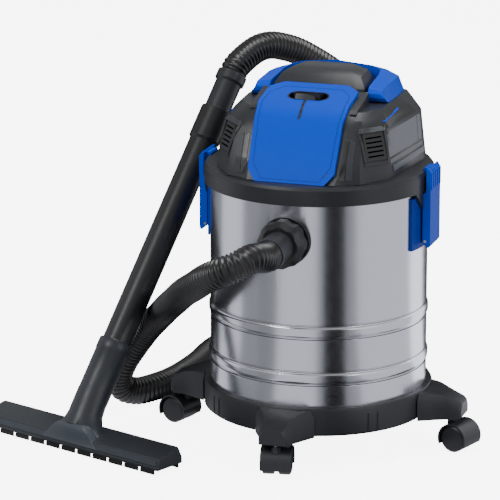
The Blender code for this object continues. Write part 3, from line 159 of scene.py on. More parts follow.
# Rolled and polished stainless sheet: near mirror, with hairlines running round the drum.
STEEL = Finish("rolled_stainless_steel", "#E2E5EC", 0.22, Pattern.ROLLED, 1.0, 0.5, 0.0015, 0.03, 0.04)
# Stainless sheet where it dips into a bead's groove, darkened as painted shade so that the groove reads as a
# dark line.
GROOVE_SHADE_STEEL = Finish("stainless_steel_painted_groove_shade", "#2B2D30", 0.40, Pattern.ROLLED, 0.6, 0.5, 0.0015, 0.03, 0.04)
# Turned and zinc-plated steel pins and cans: dull silver with faint turning marks.
ZINC = Finish("zinc_plated_steel", "#A9ABAE", 0.34, Pattern.TURNED, 1.0, 0.4, 0.01, 0.08, 0.10)
# Moulded nitrile rubber: matt, with almost no highlight.
RUBBER = Finish("moulded_rubber_black", "#141414", 0.72, depth_mm=0.03)
# Moulded polystyrene, left its natural colour: warm ivory.
IVORY = Finish("moulded_polystyrene_ivory", "#D8D2C2", 0.46, depth_mm=0.02)
# Woven polyester filter cloth: cream and matt, with visible threads.
CLOTH = Finish("woven_polyester_cream", "#DAD5C6", 0.92, Pattern.WOVEN, grain_mm=0.9, depth_mm=0.15)
# Enamelled copper wire, wound: orange-brown metal in close ridges.
COPPER = Finish("wound_copper_wire", "#A6633A", 0.36, Pattern.WOUND, 1.0, 0.8, 0.25, 0.10, 0.08)

NODE_FINISHES: dict[str, Finish] = {
    "base": BASE, "drum": STEEL, "drum_gasket": RUBBER, "inlet_socket": TRIM, "inlet_cuff": SHELL,
    "lock_collar": TRIM, "lid": SHELL, "head_housing": SHELL, "front_panel": BLUE, "switch_cup": TRIM,
    "power_rocker": TRIM, "top_cover": SHELL, "carry_handle": BLUE, "cord_gland": RUBBER,
    "fan_housing": TRIM, "motor_can": ZINC, "bearing_lower": ZINC, "bearing_upper": ZINC,
    "motor_rotor": COPPER, "impeller": ZINC, "cooling_fan": IVORY, "filter_cage": TRIM,
    "filter_sleeve": CLOTH, "float": IVORY, "hose_cuff": SHELL, "wand_tube": WAND,
    "nozzle_body": NOZZLE, "nozzle_blade_front": RUBBER, "nozzle_blade_rear": RUBBER,
}
# The latch brackets take the darkened blue, which is painted shade.
PART_FINISHES: tuple[tuple[str, Finish], ...] = (
    ("latch_bracket", SHADED_BLUE), ("latch_pin", ZINC), ("latch", BLUE), ("handle_pin", ZINC),
    ("vent_grille", TRIM), ("caster_stem", ZINC), ("caster_axle", ZINC), ("caster_hood", SHELL),
    ("wheel", WHEEL),
)


def linear(colour: str) -> tuple[float, float, float, float]:
    """Convert an sRGB hex colour to linear RGBA.

    Args:
        colour: A string such as "#0059C2".

    Returns:
        Red, green, blue and alpha.
    """
    parts = [int(colour[i : i + 2], 16) / 255 for i in (1, 3, 5)]
    bright = [v / 12.92 if v <= 0.04045 else ((v + 0.055) / 1.055) ** 2.4 for v in parts]
    return (bright[0], bright[1], bright[2], 1.0)


class Graph:
    """Adds nodes to one material's tree."""

    def __init__(self, tree: bpy.types.NodeTree) -> None:
        """Keep the tree."""
        self.tree = tree

    def add(self, kind: str, **inputs: object) -> bpy.types.Node:
        """Add a node.

        Args:
            kind: Node type without its "ShaderNode" prefix.
            inputs: Values, or output sockets to link, by input name (spaces as underscores).
                A name that is no input is set as a property of the node.

        Returns:
            The new node.
        """
        node = self.tree.nodes.new("ShaderNode" + kind)
        for key, value in inputs.items():
            name = key.replace("_", " ")
            socket = node.inputs.get(name)
            if socket is None:
                setattr(node, key, value)
            elif isinstance(value, bpy.types.NodeSocket):
                self.tree.links.new(value, socket)
            else:
                socket.default_value = value
        return node

    def link(self, output: bpy.types.NodeSocket, target: bpy.types.NodeSocket) -> None:
        """Link two sockets."""
        self.tree.links.new(output, target)

    def blend(self, factor: bpy.types.NodeSocket, low: float, high: float) -> bpy.types.NodeSocket:
        """Map a 0 to 1 value onto a range."""
        node = self.add("MapRange", Value=factor)
        node.inputs["To Min"].default_value = low
        node.inputs["To Max"].default_value = high
        return node.outputs["Result"]


STRETCH: dict[Pattern, Point] = {
    Pattern.MOULDED: (1.0, 1.0, 1.0),
    Pattern.ROLLED: (0.02, 0.02, 1.0),
    Pattern.TURNED: (0.3, 0.3, 1.0),
    Pattern.WOVEN: (1.0, 1.0, 1.0),
    Pattern.WOUND: (1.0, 1.0, 1.0),
}


def build_material(finish: Finish) -> bpy.types.Material:
    """Make, or fetch, the material of a finish.

    Args:
        finish: The finish to build.

    Returns:
        A node material.
    """
    found = bpy.data.materials.get(finish.name)
    if found is not None:
        return found
    material = bpy.data.materials.new(finish.name)
    material.use_nodes = True
    graph = Graph(material.node_tree)
    shader = material.node_tree.nodes["Principled BSDF"]
    place = graph.add("TexCoord").outputs["Object"]
    grain = graph.add("Mapping", Vector=place, Scale=STRETCH[finish.pattern]).outputs["Vector"]
    size = 1.0 / (finish.grain_mm * MM)
    if finish.pattern in (Pattern.WOVEN, Pattern.WOUND):
        waves = graph.add("TexWave", Vector=grain, Scale=size / math.tau, bands_direction="Z")
        height = waves.outputs["Fac"]
    else:
        height = graph.add("TexNoise", Vector=grain, Scale=size, Detail=3.0).outputs["Fac"]
    cloud = graph.add("TexNoise", Vector=place, Scale=CLOUD_SCALE, Detail=4.0, Roughness=0.6).outputs["Fac"]
    scuff = graph.add("TexNoise", Vector=place, Scale=SCUFF_SCALE, Detail=6.0, Roughness=0.7).outputs["Fac"]
    base = linear(finish.colour)
    tint = graph.add("Mix", data_type="RGBA")
    tint.inputs[6].default_value = [v * (1 - finish.mottle) for v in base[:3]] + [1.0]
    tint.inputs[7].default_value = [min(1.0, v * (1 + finish.mottle)) for v in base[:3]] + [1.0]
    graph.link(cloud, tint.inputs[0])
    graph.link(tint.outputs[2], shader.inputs["Base Color"])
    rough = graph.blend(scuff, finish.roughness - finish.wear, finish.roughness + finish.wear)
    graph.link(rough, shader.inputs["Roughness"])
    bump = graph.add("Bump", Height=height, Distance=finish.depth_mm * MM, Strength=BUMP_STRENGTH)
    graph.link(bump.outputs["Normal"], shader.inputs["Normal"])
    shader.inputs["Metallic"].default_value = finish.metallic
    shader.inputs["Specular IOR Level"].default_value = finish.gloss
    return material


def finish_of(node: str) -> Finish:
    """Find the finish of a CAD node.

    Args:
        node: The node's name.

    Returns:
        Its finish.
    """
    if node in NODE_FINISHES:
        return NODE_FINISHES[node]
    for part, finish in PART_FINISHES:
        if part in node:
            return finish
    return SHELL


def wear_finish(piece: bpy.types.Object, finish: Finish) -> None:
    """Give a piece one material."""
    piece.data.materials.clear()
    piece.data.materials.append(build_material(finish))


# ------------------------------------------------------------------------- mesh helpers


def publish(
    name: str, shape: bmesh.types.BMesh, finish: Finish, body: str, sharp: float = 30.0
) -> bpy.types.Object:
    """Turn a bmesh in the row frame into a piece that rides on a body.

    Args:
        name: Piece name.
        shape: The mesh, which is freed.
        finish: Its finish.
        body: CAD body that it moves with.
        sharp: Edges over this angle in degrees stay sharp.

    Returns:
        The new object.
    """
    bmesh.ops.remove_doubles(shape, verts=shape.verts, dist=1e-6)
    bmesh.ops.recalc_face_normals(shape, faces=shape.faces)
    mesh = bpy.data.meshes.new(name)
    shape.to_mesh(mesh)
    shape.free()
    mesh.shade_smooth()
    mesh.set_sharp_from_angle(angle=math.radians(sharp))
    piece = bpy.data.objects.new(name, mesh)
    bpy.context.scene.collection.objects.link(piece)
    wear_finish(piece, finish)
    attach(piece, body)
    LOG.info("%s rides on %s", name, body)
    return piece


def skin(loops: Sequence[Loop], closed: bool = False, caps: bool = True) -> bmesh.types.BMesh:
    """Skin a row of closed loops with quads.

    Args:
        loops: Loops with the same number of points.
        closed: Whether the last loop joins the first.
        caps: Whether the ends are capped.

    Returns:
        The mesh.
    """
    shape = bmesh.new()
    rings = [[shape.verts.new(p) for p in loop] for loop in loops]
    pairs = list(zip(rings, rings[1:]))
    if closed:
        pairs.append((rings[-1], rings[0]))
    for low, high in pairs:
        count = len(low)
        for i in range(count):
            shape.faces.new((low[i], low[(i + 1) % count], high[(i + 1) % count], high[i]))
    if caps and not closed:
        shape.faces.new(rings[0])
        shape.faces.new(rings[-1])
    return shape


def circle(frame_at: Matrix, radius: float, height: float, sides: int) -> list[Vector]:
    """Points of a circle about a frame's Z axis, at a height along it."""
    turn = [math.tau * i / sides for i in range(sides)]
    return [frame_at @ Vector((radius * math.cos(a), radius * math.sin(a), height)) for a in turn]


def bevel(piece: bpy.types.Object, width: float, segments: int = 2, angle: float = 35.0) -> None:
    """Add a small rounding to a piece's edges.

    Args:
        piece: The piece.
        width: Width of the rounding.
        segments: Faces across it.
        angle: Edges under this angle in degrees are left alone.
    """
    rounding = piece.modifiers.new("edge", "BEVEL")
    rounding.width = width
    rounding.segments = segments
    rounding.limit_method = "ANGLE"
    rounding.angle_limit = math.radians(angle)
    rounding.harden_normals = True


def carve(piece: bpy.types.Object, cutter: bmesh.types.BMesh) -> None:
    """Cut a closed shape out of a piece and keep the result as its mesh.

    Args:
        piece: A piece of this script's own.
        cutter: The shape to take away, which is freed.
    """
    bmesh.ops.recalc_face_normals(cutter, faces=cutter.faces)
    mesh = bpy.data.meshes.new("cutter")
    cutter.to_mesh(mesh)
    cutter.free()
    tool = bpy.data.objects.new("cutter", mesh)
    bpy.context.scene.collection.objects.link(tool)
    step = piece.modifiers.new("carve", "BOOLEAN")
    step.operation = "DIFFERENCE"
    step.solver = "EXACT"
    step.object = tool
    graph = bpy.context.evaluated_depsgraph_get()
    result = bpy.data.meshes.new_from_object(piece.evaluated_get(graph))
    piece.modifiers.remove(step)
    piece.data = result
    bpy.data.objects.remove(tool)


def smoothing_group() -> bpy.types.NodeTree:
    """Make, or fetch, the group that shades smooth and keeps steep edges sharp.

    Returns:
        A geometry node group.
    """
    found = bpy.data.node_groups.get("smooth_by_angle")
    if found is not None:
        return found
    group = bpy.data.node_groups.new("smooth_by_angle", "GeometryNodeTree")
    group.interface.new_socket("Geometry", in_out="INPUT", socket_type="NodeSocketGeometry")
    group.interface.new_socket("Geometry", in_out="OUTPUT", socket_type="NodeSocketGeometry")
    nodes, links = group.nodes, group.links
    source = nodes.new("NodeGroupInput")
    faces = nodes.new("GeometryNodeSetShadeSmooth")
    edges = nodes.new("GeometryNodeSetShadeSmooth")
    edges.domain = "EDGE"
    edges.inputs["Shade Smooth"].default_value = False
    angle = nodes.new("GeometryNodeInputMeshEdgeAngle")
    steep = nodes.new("FunctionNodeCompare")
    steep.inputs[1].default_value = math.radians(SMOOTH_ANGLE)
    target = nodes.new("NodeGroupOutput")
    links.new(source.outputs[0], faces.inputs["Geometry"])
    links.new(faces.outputs[0], edges.inputs["Geometry"])
    links.new(angle.outputs["Unsigned Angle"], steep.inputs[0])
    links.new(steep.outputs[0], edges.inputs["Selection"])
    links.new(edges.outputs[0], target.inputs[0])
    return group


def smooth_node(piece: bpy.types.Object) -> None:
    """Merge a CAD node's split corners and smooth its round faces, by modifiers alone."""
    weld = piece.modifiers.new("weld", "WELD")
    weld.merge_threshold = WELD_REACH
    piece.modifiers.new("smooth", "NODES").node_group = smoothing_group()


def surface_of(node: str) -> BVHTree:
    """A search tree over a CAD node's faces, in the row frame."""
    return BVHTree.FromObject(frame["nodes"][node], bpy.context.evaluated_depsgraph_get())


def along(direction: Vector, origin: Vector) -> Matrix:
    """Frame at origin with Z along a direction and X level.

    Args:
        direction: Where Z points.
        origin: Where the frame stands.

    Returns:
        The frame.
    """
    up = direction.normalized()
    side = Vector((0.0, 0.0, 1.0)).cross(up).normalized()
    ahead = up.cross(side)
    place = Matrix((side, ahead, up)).transposed().to_4x4()
    place.translation = origin
    return place


def joint(name: str) -> dict:
    """Find a joint of the record.

    Args:
        name: The joint's name.

    Returns:
        The record's entry for it.
    """
    for entry in frame["record"]["behaviour"]["joints"]:
        if entry["name"] == name:
            return entry
    raise KeyError(name)


def draped_plate(
    name: str,
    outline: Sequence[tuple[float, float]],
    cast: Callable[[float, float], tuple[Vector, Vector]],
    tree: BVHTree,
    lift: float,
    finish: Finish,
    step: float = 4 * MM,
) -> bpy.types.Object:
    """Lay a thin plate on a CAD surface.

    Args:
        name: Piece name.
        outline: Polygon in the plate's own two coordinates.
        cast: Gives the start and direction of the ray for a pair of coordinates.
        tree: The surface.
        lift: How far the plate stands proud.
        finish: Its finish.
        step: Spacing of the lines that let it bend.

    Returns:
        The piece.
    """
    shape = bmesh.new()
    shape.faces.new([shape.verts.new((u, v, 0.0)) for u, v in outline])
    for axis in (0, 1):
        low = min(p[axis] for p in outline)
        high = max(p[axis] for p in outline)
        normal = Vector((1.0 - axis, float(axis), 0.0))
        for i in range(1, int((high - low) / step) + 1):
            everything = shape.verts[:] + shape.edges[:] + shape.faces[:]
            bmesh.ops.bisect_plane(shape, geom=everything, plane_co=normal * (low + i * step),
                                   plane_no=normal)
    top = {}
    for vert in shape.verts:
        start, way = cast(vert.co.x, vert.co.y)
        hit = tree.ray_cast(start, way)[0]
        if hit is None:
            hit = start + way * CAST_MISS
        vert.co = hit - way * lift
        top[vert] = hit + way * 0.6 * MM
    faces = shape.faces[:]
    grown = bmesh.ops.extrude_face_region(shape, geom=faces)
    spots = {tuple(round(c, 7) for c in v.co): p for v, p in top.items()}
    for item in grown["geom"]:
        if isinstance(item, bmesh.types.BMVert):
            item.co = spots[tuple(round(c, 7) for c in item.co)]
    piece = publish(name, shape, finish, "head")
    bevel(piece, 0.35 * MM)
    return piece


# ------------------------------------------------------------------------- hose

HOSE_ROUTE: tuple[Point, ...] = (
    (-0.008, -0.299, 0.298), (-0.021, -0.315, 0.292), (-0.041, -0.320, 0.283), (-0.070, -0.3045, 0.267),
    (-0.101, -0.266, 0.243), (-0.138, -0.208, 0.214), (-0.179, -0.132, 0.177), (-0.208, -0.080, 0.151),
    (-0.235, -0.034, 0.125), (-0.266, -0.0075, 0.093), (-0.293, 0.005, 0.058), (-0.314, 0.012, 0.026),
    (-0.324, 0.021, 0.001), (-0.321, 0.034, -0.019), (-0.306, 0.050, -0.0274), (-0.287, 0.077, -0.0274),
    (-0.272, 0.119, -0.0274), (-0.262, 0.201, -0.0274), (-0.262, 0.296, -0.0274), (-0.244, 0.390, -0.0274),
    (-0.211, 0.460, -0.0274), (-0.163, 0.505, -0.0255), (-0.112, 0.520, -0.013), (-0.071, 0.514, 0.020),
    (-0.041, 0.494, 0.075), (-0.019, 0.460, 0.150), (-0.010, 0.423, 0.228), (-0.018, 0.384, 0.310),
    (-0.036, 0.354, 0.377), (-0.057, 0.334, 0.410), (-0.076, 0.312, 0.4355), (-0.095, 0.290, 0.455),
    (-0.116, 0.267, 0.473), (-0.1325, 0.246, 0.483), (-0.148, 0.223, 0.489), (-0.162, 0.200, 0.486),
)


def centripetal(route: Sequence[Vector], steps: int = 16) -> list[Vector]:
    """Points on a centripetal curve through a route.

    Args:
        route: The points to pass; the first and last only steer the curve.
        steps: Points for each stretch.

    Returns:
        Points from the second of the route to the last but one.
    """
    fine: list[Vector] = []
    for a, b, c, d in zip(route, route[1:], route[2:], route[3:]):
        knots = [0.0]
        for p, q in ((a, b), (b, c), (c, d)):
            knots.append(knots[-1] + math.sqrt((q - p).length))
        for i in range(steps):
            t = knots[1] + (knots[2] - knots[1]) * i / steps
            level = [a, b, c, d]
            for degree in (1, 2, 3):
                mixed = []
                for k in range(4 - degree):
                    left, right = (k, k + degree) if degree < 3 else (1, 2)
                    span = knots[right] - knots[left]
                    low = level[k] * (knots[right] - t) / span
                    mixed.append(low + level[k + 1] * (t - knots[left]) / span)
                level = mixed
            fine.append(level[0])
    fine.append(route[-2])
    return fine


class Line:
    """A line of points that can be read at any distance along it."""

    def __init__(self, points: Sequence[Vector]) -> None:
        """Measure the line up to each of its points."""
        self.points = list(points)
        self.reach = [0.0]
        for p, q in zip(self.points, self.points[1:]):
            self.reach.append(self.reach[-1] + (q - p).length)
        self.length = self.reach[-1]

    def at(self, distance: float) -> Vector:
        """Find a point on the line.

        Args:
            distance: How far along the line, held to its ends.

        Returns:
            The point.
        """
        spot = min(max(distance, 0.0), self.length)
        k = min(max(bisect.bisect_right(self.reach, spot) - 1, 0), len(self.points) - 2)
        share = (spot - self.reach[k]) / (self.reach[k + 1] - self.reach[k])
        return self.points[k].lerp(self.points[k + 1], share)

    def way(self, distance: float, span: float = 11 * MM) -> Vector:
        """The direction at a distance, over a short span."""
        return (self.at(distance + span) - self.at(distance - span)).normalized()


@dataclass
class Hose:
    """Corrugated suction hose between the inlet and the wand.

    Attributes:
        radius: Outside radius over the ribs.
        pitch: Distance from rib to rib.
        depth: Height of a rib.
        sides: Points round a ring.
        rib: A rib's section, as (share of the pitch, share of the depth).
    """

    radius: float = 0.0215
    pitch: float = 0.0070
    depth: float = 0.0031
    sides: int = 22
    rib: tuple[tuple[float, float], ...] = ((0.0, 1.0), (0.18, 0.93), (0.36, 0.40), (0.53, 0.0), (0.70, 0.0),
                                            (0.84, 0.55))

    def line(self) -> Line:
        """The hose's centre line, from the inlet cuff to the wand's cuff."""
        start = Vector((0.0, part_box("inlet_cuff")[0][1] - GAP, joint("collar_turn")["pos_m"][2]))
        lean = Vector(joint("wand_twist")["axis"]).normalized()
        finish = Vector(joint("wand_twist")["pos_m"]) + lean * GAP
        route = [start, start + Vector((0.0, -0.010, 0.0))] + [Vector(p) for p in HOSE_ROUTE]
        route += [finish + lean * 0.010, finish]
        return Line([start] + centripetal(route) + [finish])

    def build(self) -> None:
        line = self.line()
        count = round(line.length / self.pitch)
        pitch = line.length / count
        stations = [(i + share) * pitch for i in range(count) for share, _ in self.rib] + [line.length]
        heights = [height for _ in range(count) for _, height in self.rib] + [1.0]
        turn = [math.tau * k / self.sides for k in range(self.sides)]
        side = Vector((1.0, 0.0, 0.0))
        loops = []
        for station, height in zip(stations, heights):
            way = line.way(station)
            side = (side - way * side.dot(way)).normalized()
            up = way.cross(side)
            radius = self.radius - self.depth * (1.0 - height)
            loops.append([line.at(station) + (side * math.cos(a) + up * math.sin(a)) * radius for a in turn])
        hose = publish("suction_hose", skin(loops), HOSE, "drum_body", sharp=85.0)
        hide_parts("hose")
        path = [tuple(line.at(line.length * i / count)) for i in range(count + 1)]


# ------------------------------------------------------------------------- head trim


def from_side(sign: float) -> Callable[[float, float], tuple[Vector, Vector]]:
    """Rays towards the machine from its right (+1) or left (-1), by (y, z)."""
    return lambda y, z: (Vector((sign * CAST_FROM, y, z)), Vector((-sign, 0.0, 0.0)))


def from_ahead(x: float, z: float) -> tuple[Vector, Vector]:
    """Ray towards the machine from its front, by (x, z)."""
    return Vector((x, -CAST_FROM, z)), Vector((0.0, 1.0, 0.0))


PANEL_CENTRE = Vector((0.0, -0.050, 0.410))
PANEL_ARC = 0.1


def from_front(x: float, turn: float) -> tuple[Vector, Vector]:
    """Ray towards the blue panel's axis.

    Args:
        x: Place along the axis.
        turn: Arc up from the front horizontal, at PANEL_ARC from the axis.

    Returns:
        The ray's start and direction.
    """
    angle = turn / PANEL_ARC
    out = Vector((0.0, -math.cos(angle), math.sin(angle)))
    return PANEL_CENTRE + Vector((x, 0.0, 0.0)) + out * CAST_FROM, -out


@dataclass
class Head:
    """Trim on the motor head's housing and panel.

    Attributes:
        line_step: Spacing of the points on the panel's raised line.
        line_half: Half the line's width.
        line_proud: How far it stands up.
        grip_foot: Foot of the switch's grip, out from its pivot.
        grip_rim: Chamfer round the grip's top.
        grip_sink: Shift of the grip towards the panel's lower side.
        vent_out: Way the right vent faces; the left one is its mirror image.
        vent_reach: Distance from which rays are cast at a vent.
    """

    line_step: float = 3 * MM
    line_half: float = 0.55 * MM
    line_proud: float = 0.15 * MM
    grip_foot: float = 8.0 * MM
    grip_rim: float = 1.1 * MM
    grip_sink: float = 0.6 * MM
    vent_out: Point = (0.7484, -0.5866, 0.3095)
    vent_reach: float = 0.1

    def side_plates(self) -> None:
        """Grey side panels, dark strips and blue accents on both sides; the dark strips in the groove and the
        slit are painted shade.
        """
        tree = surface_of("head_housing")
        plates = (
            ("side_panel", ((-0.075, 0.402), (0.046, 0.4045), (0.046, 0.441), (-0.064, 0.4385),
                            (-0.075, 0.431)),
             1.0, SIDE_GREY),
            # Painted shade: a dark strip in the groove under the grey panel.
            ("side_groove_shade", ((-0.073, 0.3925), (0.052, 0.3955), (0.052, 0.4015), (-0.073, 0.3985)), 0.5,
             TRIM),
            ("side_sill", ((-0.066, 0.380), (0.056, 0.384), (0.056, 0.3925), (-0.066, 0.3885)), 1.4,
             SIDE_GREY),
            ("side_ramp", ((-0.070, 0.4425), (0.050, 0.4450), (0.042, 0.4640), (-0.036, 0.4620)), 0.6, TRIM),
            ("side_accent", ((-0.060, 0.4500), (0.006, 0.4560), (0.006, 0.4574), (-0.060, 0.4514)), 1.4,
             BLUE),
        )
        for side, sign in (("right", 1.0), ("left", -1.0)):
            for name, outline, lift, finish in plates:
                draped_plate(name + "_" + side, outline, from_side(sign), tree, lift * MM, finish)
            # Painted shade: a dark strip in the slit.
            slit = ((0.0335, 0.4050), (0.0350, 0.4050), (0.0350, 0.4400), (0.0335, 0.4400))
            draped_plate("side_slit_shade_" + side, slit, from_side(sign), tree, 1.3 * MM, TRIM)

    def panel_border(self) -> None:
        """Fine raised line in darker blue inside the blue panel's edge, and a dark strip in the groove below
        the switch: both painted shade.
        """
        tree = surface_of("front_panel")
        right = ((0.044, -0.0335), (0.0575, -0.0170), (0.0600, 0.0600), (0.0620, 0.1080), (0.0600, 0.1600),
                 (0.0440, 0.1860))
        corners = [*right, *[(-x, s) for x, s in reversed(right)]]
        path = []
        for a, b in zip(corners, corners[1:] + corners[:1]):
            count = max(1, int(math.dist(a, b) / self.line_step))
            for i in range(count):
                u = a[0] + (b[0] - a[0]) * i / count
                v = a[1] + (b[1] - a[1]) * i / count
                start, way = from_front(u, v)
                hit, normal, _, _ = tree.ray_cast(start, way)
                if hit is not None:
                    path.append((hit, normal if normal.dot(way) < 0 else -normal))
        loops = []
        for i, (spot, normal) in enumerate(path):
            ahead = path[(i + 1) % len(path)][0] - path[i - 1][0]
            across = ahead.normalized().cross(normal).normalized()
            half, proud = self.line_half, self.line_proud
            loops.append([spot - across * half - normal * half, spot - across * half + normal * proud,
                          spot + across * half + normal * proud, spot + across * half - normal * half])
        # Painted shade: the raised line is drawn in darker blue to stand for the groove round the panel.
        publish("panel_shade_line", skin(loops, closed=True), SHADED_BLUE, "head")
        # Painted shade: a dark strip where the groove below the switch lies.
        groove = ((-0.0021, 0.0705), (0.0021, 0.0705), (0.0021, 0.1290), (-0.0021, 0.1290))
        draped_plate("panel_groove_shade", groove, from_front, tree, 0.25 * MM, TRIM)
        tick = ((0.0490, -0.0290), (0.0498, -0.0297), (0.0545, -0.0235), (0.0537, -0.0228))
        draped_plate("panel_tick", tick, from_front, tree, 0.2 * MM, TRIM)

    def rocker_cap(self) -> None:
        """Tall grip of the power switch, higher at one end."""
        tree = surface_of("front_panel")
        pivot = Vector(joint("power_switch")["pos_m"])
        start, way = from_front(0.024, 0.0525)
        hit, out, _, _ = tree.ray_cast(start, way)
        out = out if out.dot(way) < 0 else -out
        out = Vector((0.0, out.y, out.z)).normalized()
        up = out.cross(Vector((1.0, 0.0, 0.0))).normalized()
        if up.z < 0:
            up = -up
        loops = []
        for x, height, half in ((-0.0175, 0.0130, 0.0044), (-0.0160, 0.0158, 0.0050),
                                (-0.0075, 0.0158, 0.0050),
                                (0.0090, 0.0124, 0.0046), (0.0120, 0.0105, 0.0040)):
            spot = pivot + Vector((x, 0.0, 0.0)) - up * self.grip_sink
            foot, rim = self.grip_foot, self.grip_rim
            loops.append([spot - up * half + out * foot, spot - up * half + out * (height - rim),
                          spot - up * (half - rim) + out * height, spot + up * (half - rim) + out * height,
                          spot + up * half + out * (height - rim), spot + up * half + out * foot])
        publish("rocker_grip", skin(loops), SIDE_DARK, "rocker")

    def pillars(self) -> None:
        """Dark and light facets beside the blue panel."""
        tree = surface_of("head_housing")
        facets = (
            ("pillar_inner", ((0.0700, 0.3775), (0.0775, 0.3775), (0.0780, 0.4300), (0.0706, 0.4330)), 0.6,
             TRIM),
            ("pillar_outer", ((0.0790, 0.3775), (0.0880, 0.3775), (0.0875, 0.4270), (0.0795, 0.4320)), 1.0,
             SIDE_DARK),
        )
        for side, sign in (("right", 1.0), ("left", -1.0)):
            for name, outline, lift, finish in facets:
                flipped = [(sign * x, z) for x, z in outline]
                draped_plate(name + "_" + side, flipped, from_ahead, tree, lift * MM, finish)

    def grille_boxes(self) -> None:
        """Raised frame round each vent."""
        tree = surface_of("head_housing")
        for side, sign in (("right", 1.0), ("left", -1.0)):
            low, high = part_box("vent_grille_" + side)
            centre = (Vector(low) + Vector(high)) / 2
            out = Vector((sign * self.vent_out[0], *self.vent_out[1:])).normalized()
            across = Vector((0.0, 0.0, 1.0)).cross(out).normalized()
            up = out.cross(across)

            def cast(u: float, v: float) -> tuple[Vector, Vector]:
                """Ray at the vent, by its own two coordinates."""
                return centre + across * u + up * v + out * self.vent_reach, -out

            bars = (
                ("top", ((-0.0235, 0.0212), (0.0235, 0.0212), (0.0195, 0.0285), (-0.0195, 0.0285)), 2.6,
                 SIDE_DARK),
                ("foot", ((-0.0225, -0.0262), (0.0225, -0.0262), (0.0225, -0.0212), (-0.0225, -0.0212)), 1.2,
                 SHELL),
                ("ahead", ((-0.0230, -0.0210), (-0.0190, -0.0210), (-0.0190, 0.0210), (-0.0230, 0.0210)),
                 1.8, SHELL),
                ("behind", ((0.0190, -0.0210), (0.0230, -0.0210), (0.0230, 0.0210), (0.0190, 0.0210)), 1.8,
                 SHELL),
            )
            for name, outline, lift, finish in bars:
                draped_plate("vent_%s_%s" % (name, side), outline, cast, tree, lift * MM, finish)

    def build(self) -> None:
        """Build all head trim."""
        self.side_plates()
        self.rocker_cap()
        self.pillars()
        self.grille_boxes()
        self.panel_border()


# ------------------------------------------------------------------------- body trim


@dataclass
class Latches:
    """Grip ribs over the latches' tops, with dark lines between them: painted shade in the gaps.

    Attributes:
        ribs: Ribs on each latch.
        half: Half a rib's width.
        proud: How far a rib stands up.
        line_half: Half a line's width.
        line_proud: How far a line stands up.
    """

    ribs: int = 5
    half: float = 3.6 * MM
    proud: float = 1.5 * MM
    line_half: float = 0.7 * MM
    line_proud: float = 0.3 * MM

    def rib(
        self, sign: float, outer: float, inner: float, top: float, y: float, half: float, proud: float
    ) -> bmesh.types.BMesh:
        """One rib, up the outer face and over the top.

        Args:
            sign: +1 for the right latch, -1 for the left.
            outer: Distance of the latch's outer face from the machine's middle.
            inner: Distance of its inner side.
            top: Height of its top.
            y: Place of the rib's middle.
            half: Half its width.
            proud: How far it stands up.

        Returns:
            The mesh.
        """
        line = ((outer, top - 0.030), (outer, top - 0.0065), (outer - 0.0045, top), (inner + 0.0100, top))
        out = ((1.0, 0.0), (1.0, 0.35), (0.35, 1.0), (0.0, 1.0))
        loops = []
        for (x, z), (dx, dz) in zip(line, out):
            low = Vector((sign * (x - dx * 0.5 * MM), 0.0, z - dz * 0.5 * MM))
            high = Vector((sign * (x + dx * proud), 0.0, z + dz * proud))
            across = Vector((0.0, half, 0.0))
            spot = Vector((0.0, y, 0.0))
            loops.append([spot + low - across, spot + high - across * 0.6, spot + high + across * 0.6,
                          spot + low + across])
        return skin(loops)

    def build(self) -> None:
        """Build the ribs on both latches."""
        for side, sign in (("right", 1.0), ("left", -1.0)):
            low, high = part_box("latch_" + side)
            outer = max(abs(low[0]), abs(high[0]))
            inner = min(abs(low[0]), abs(high[0]))
            for i in range(self.ribs):
                y = low[1] + (high[1] - low[1]) * (i + 0.5) / self.ribs
                shape = self.rib(sign, outer, inner, high[2], y, self.half, self.proud)
                publish("latch_rib_%s_%d" % (side, i), shape, BLUE, "latch_lever_" + side)
            # Painted shade: dark strips in the gaps between the ribs.
            for i in range(1, self.ribs):
                y = low[1] + (high[1] - low[1]) * i / self.ribs
                shape = self.rib(sign, outer, inner, high[2], y, self.line_half, self.line_proud)
                publish("latch_gap_shade_%s_%d" % (side, i), shape, TRIM, "latch_lever_" + side)


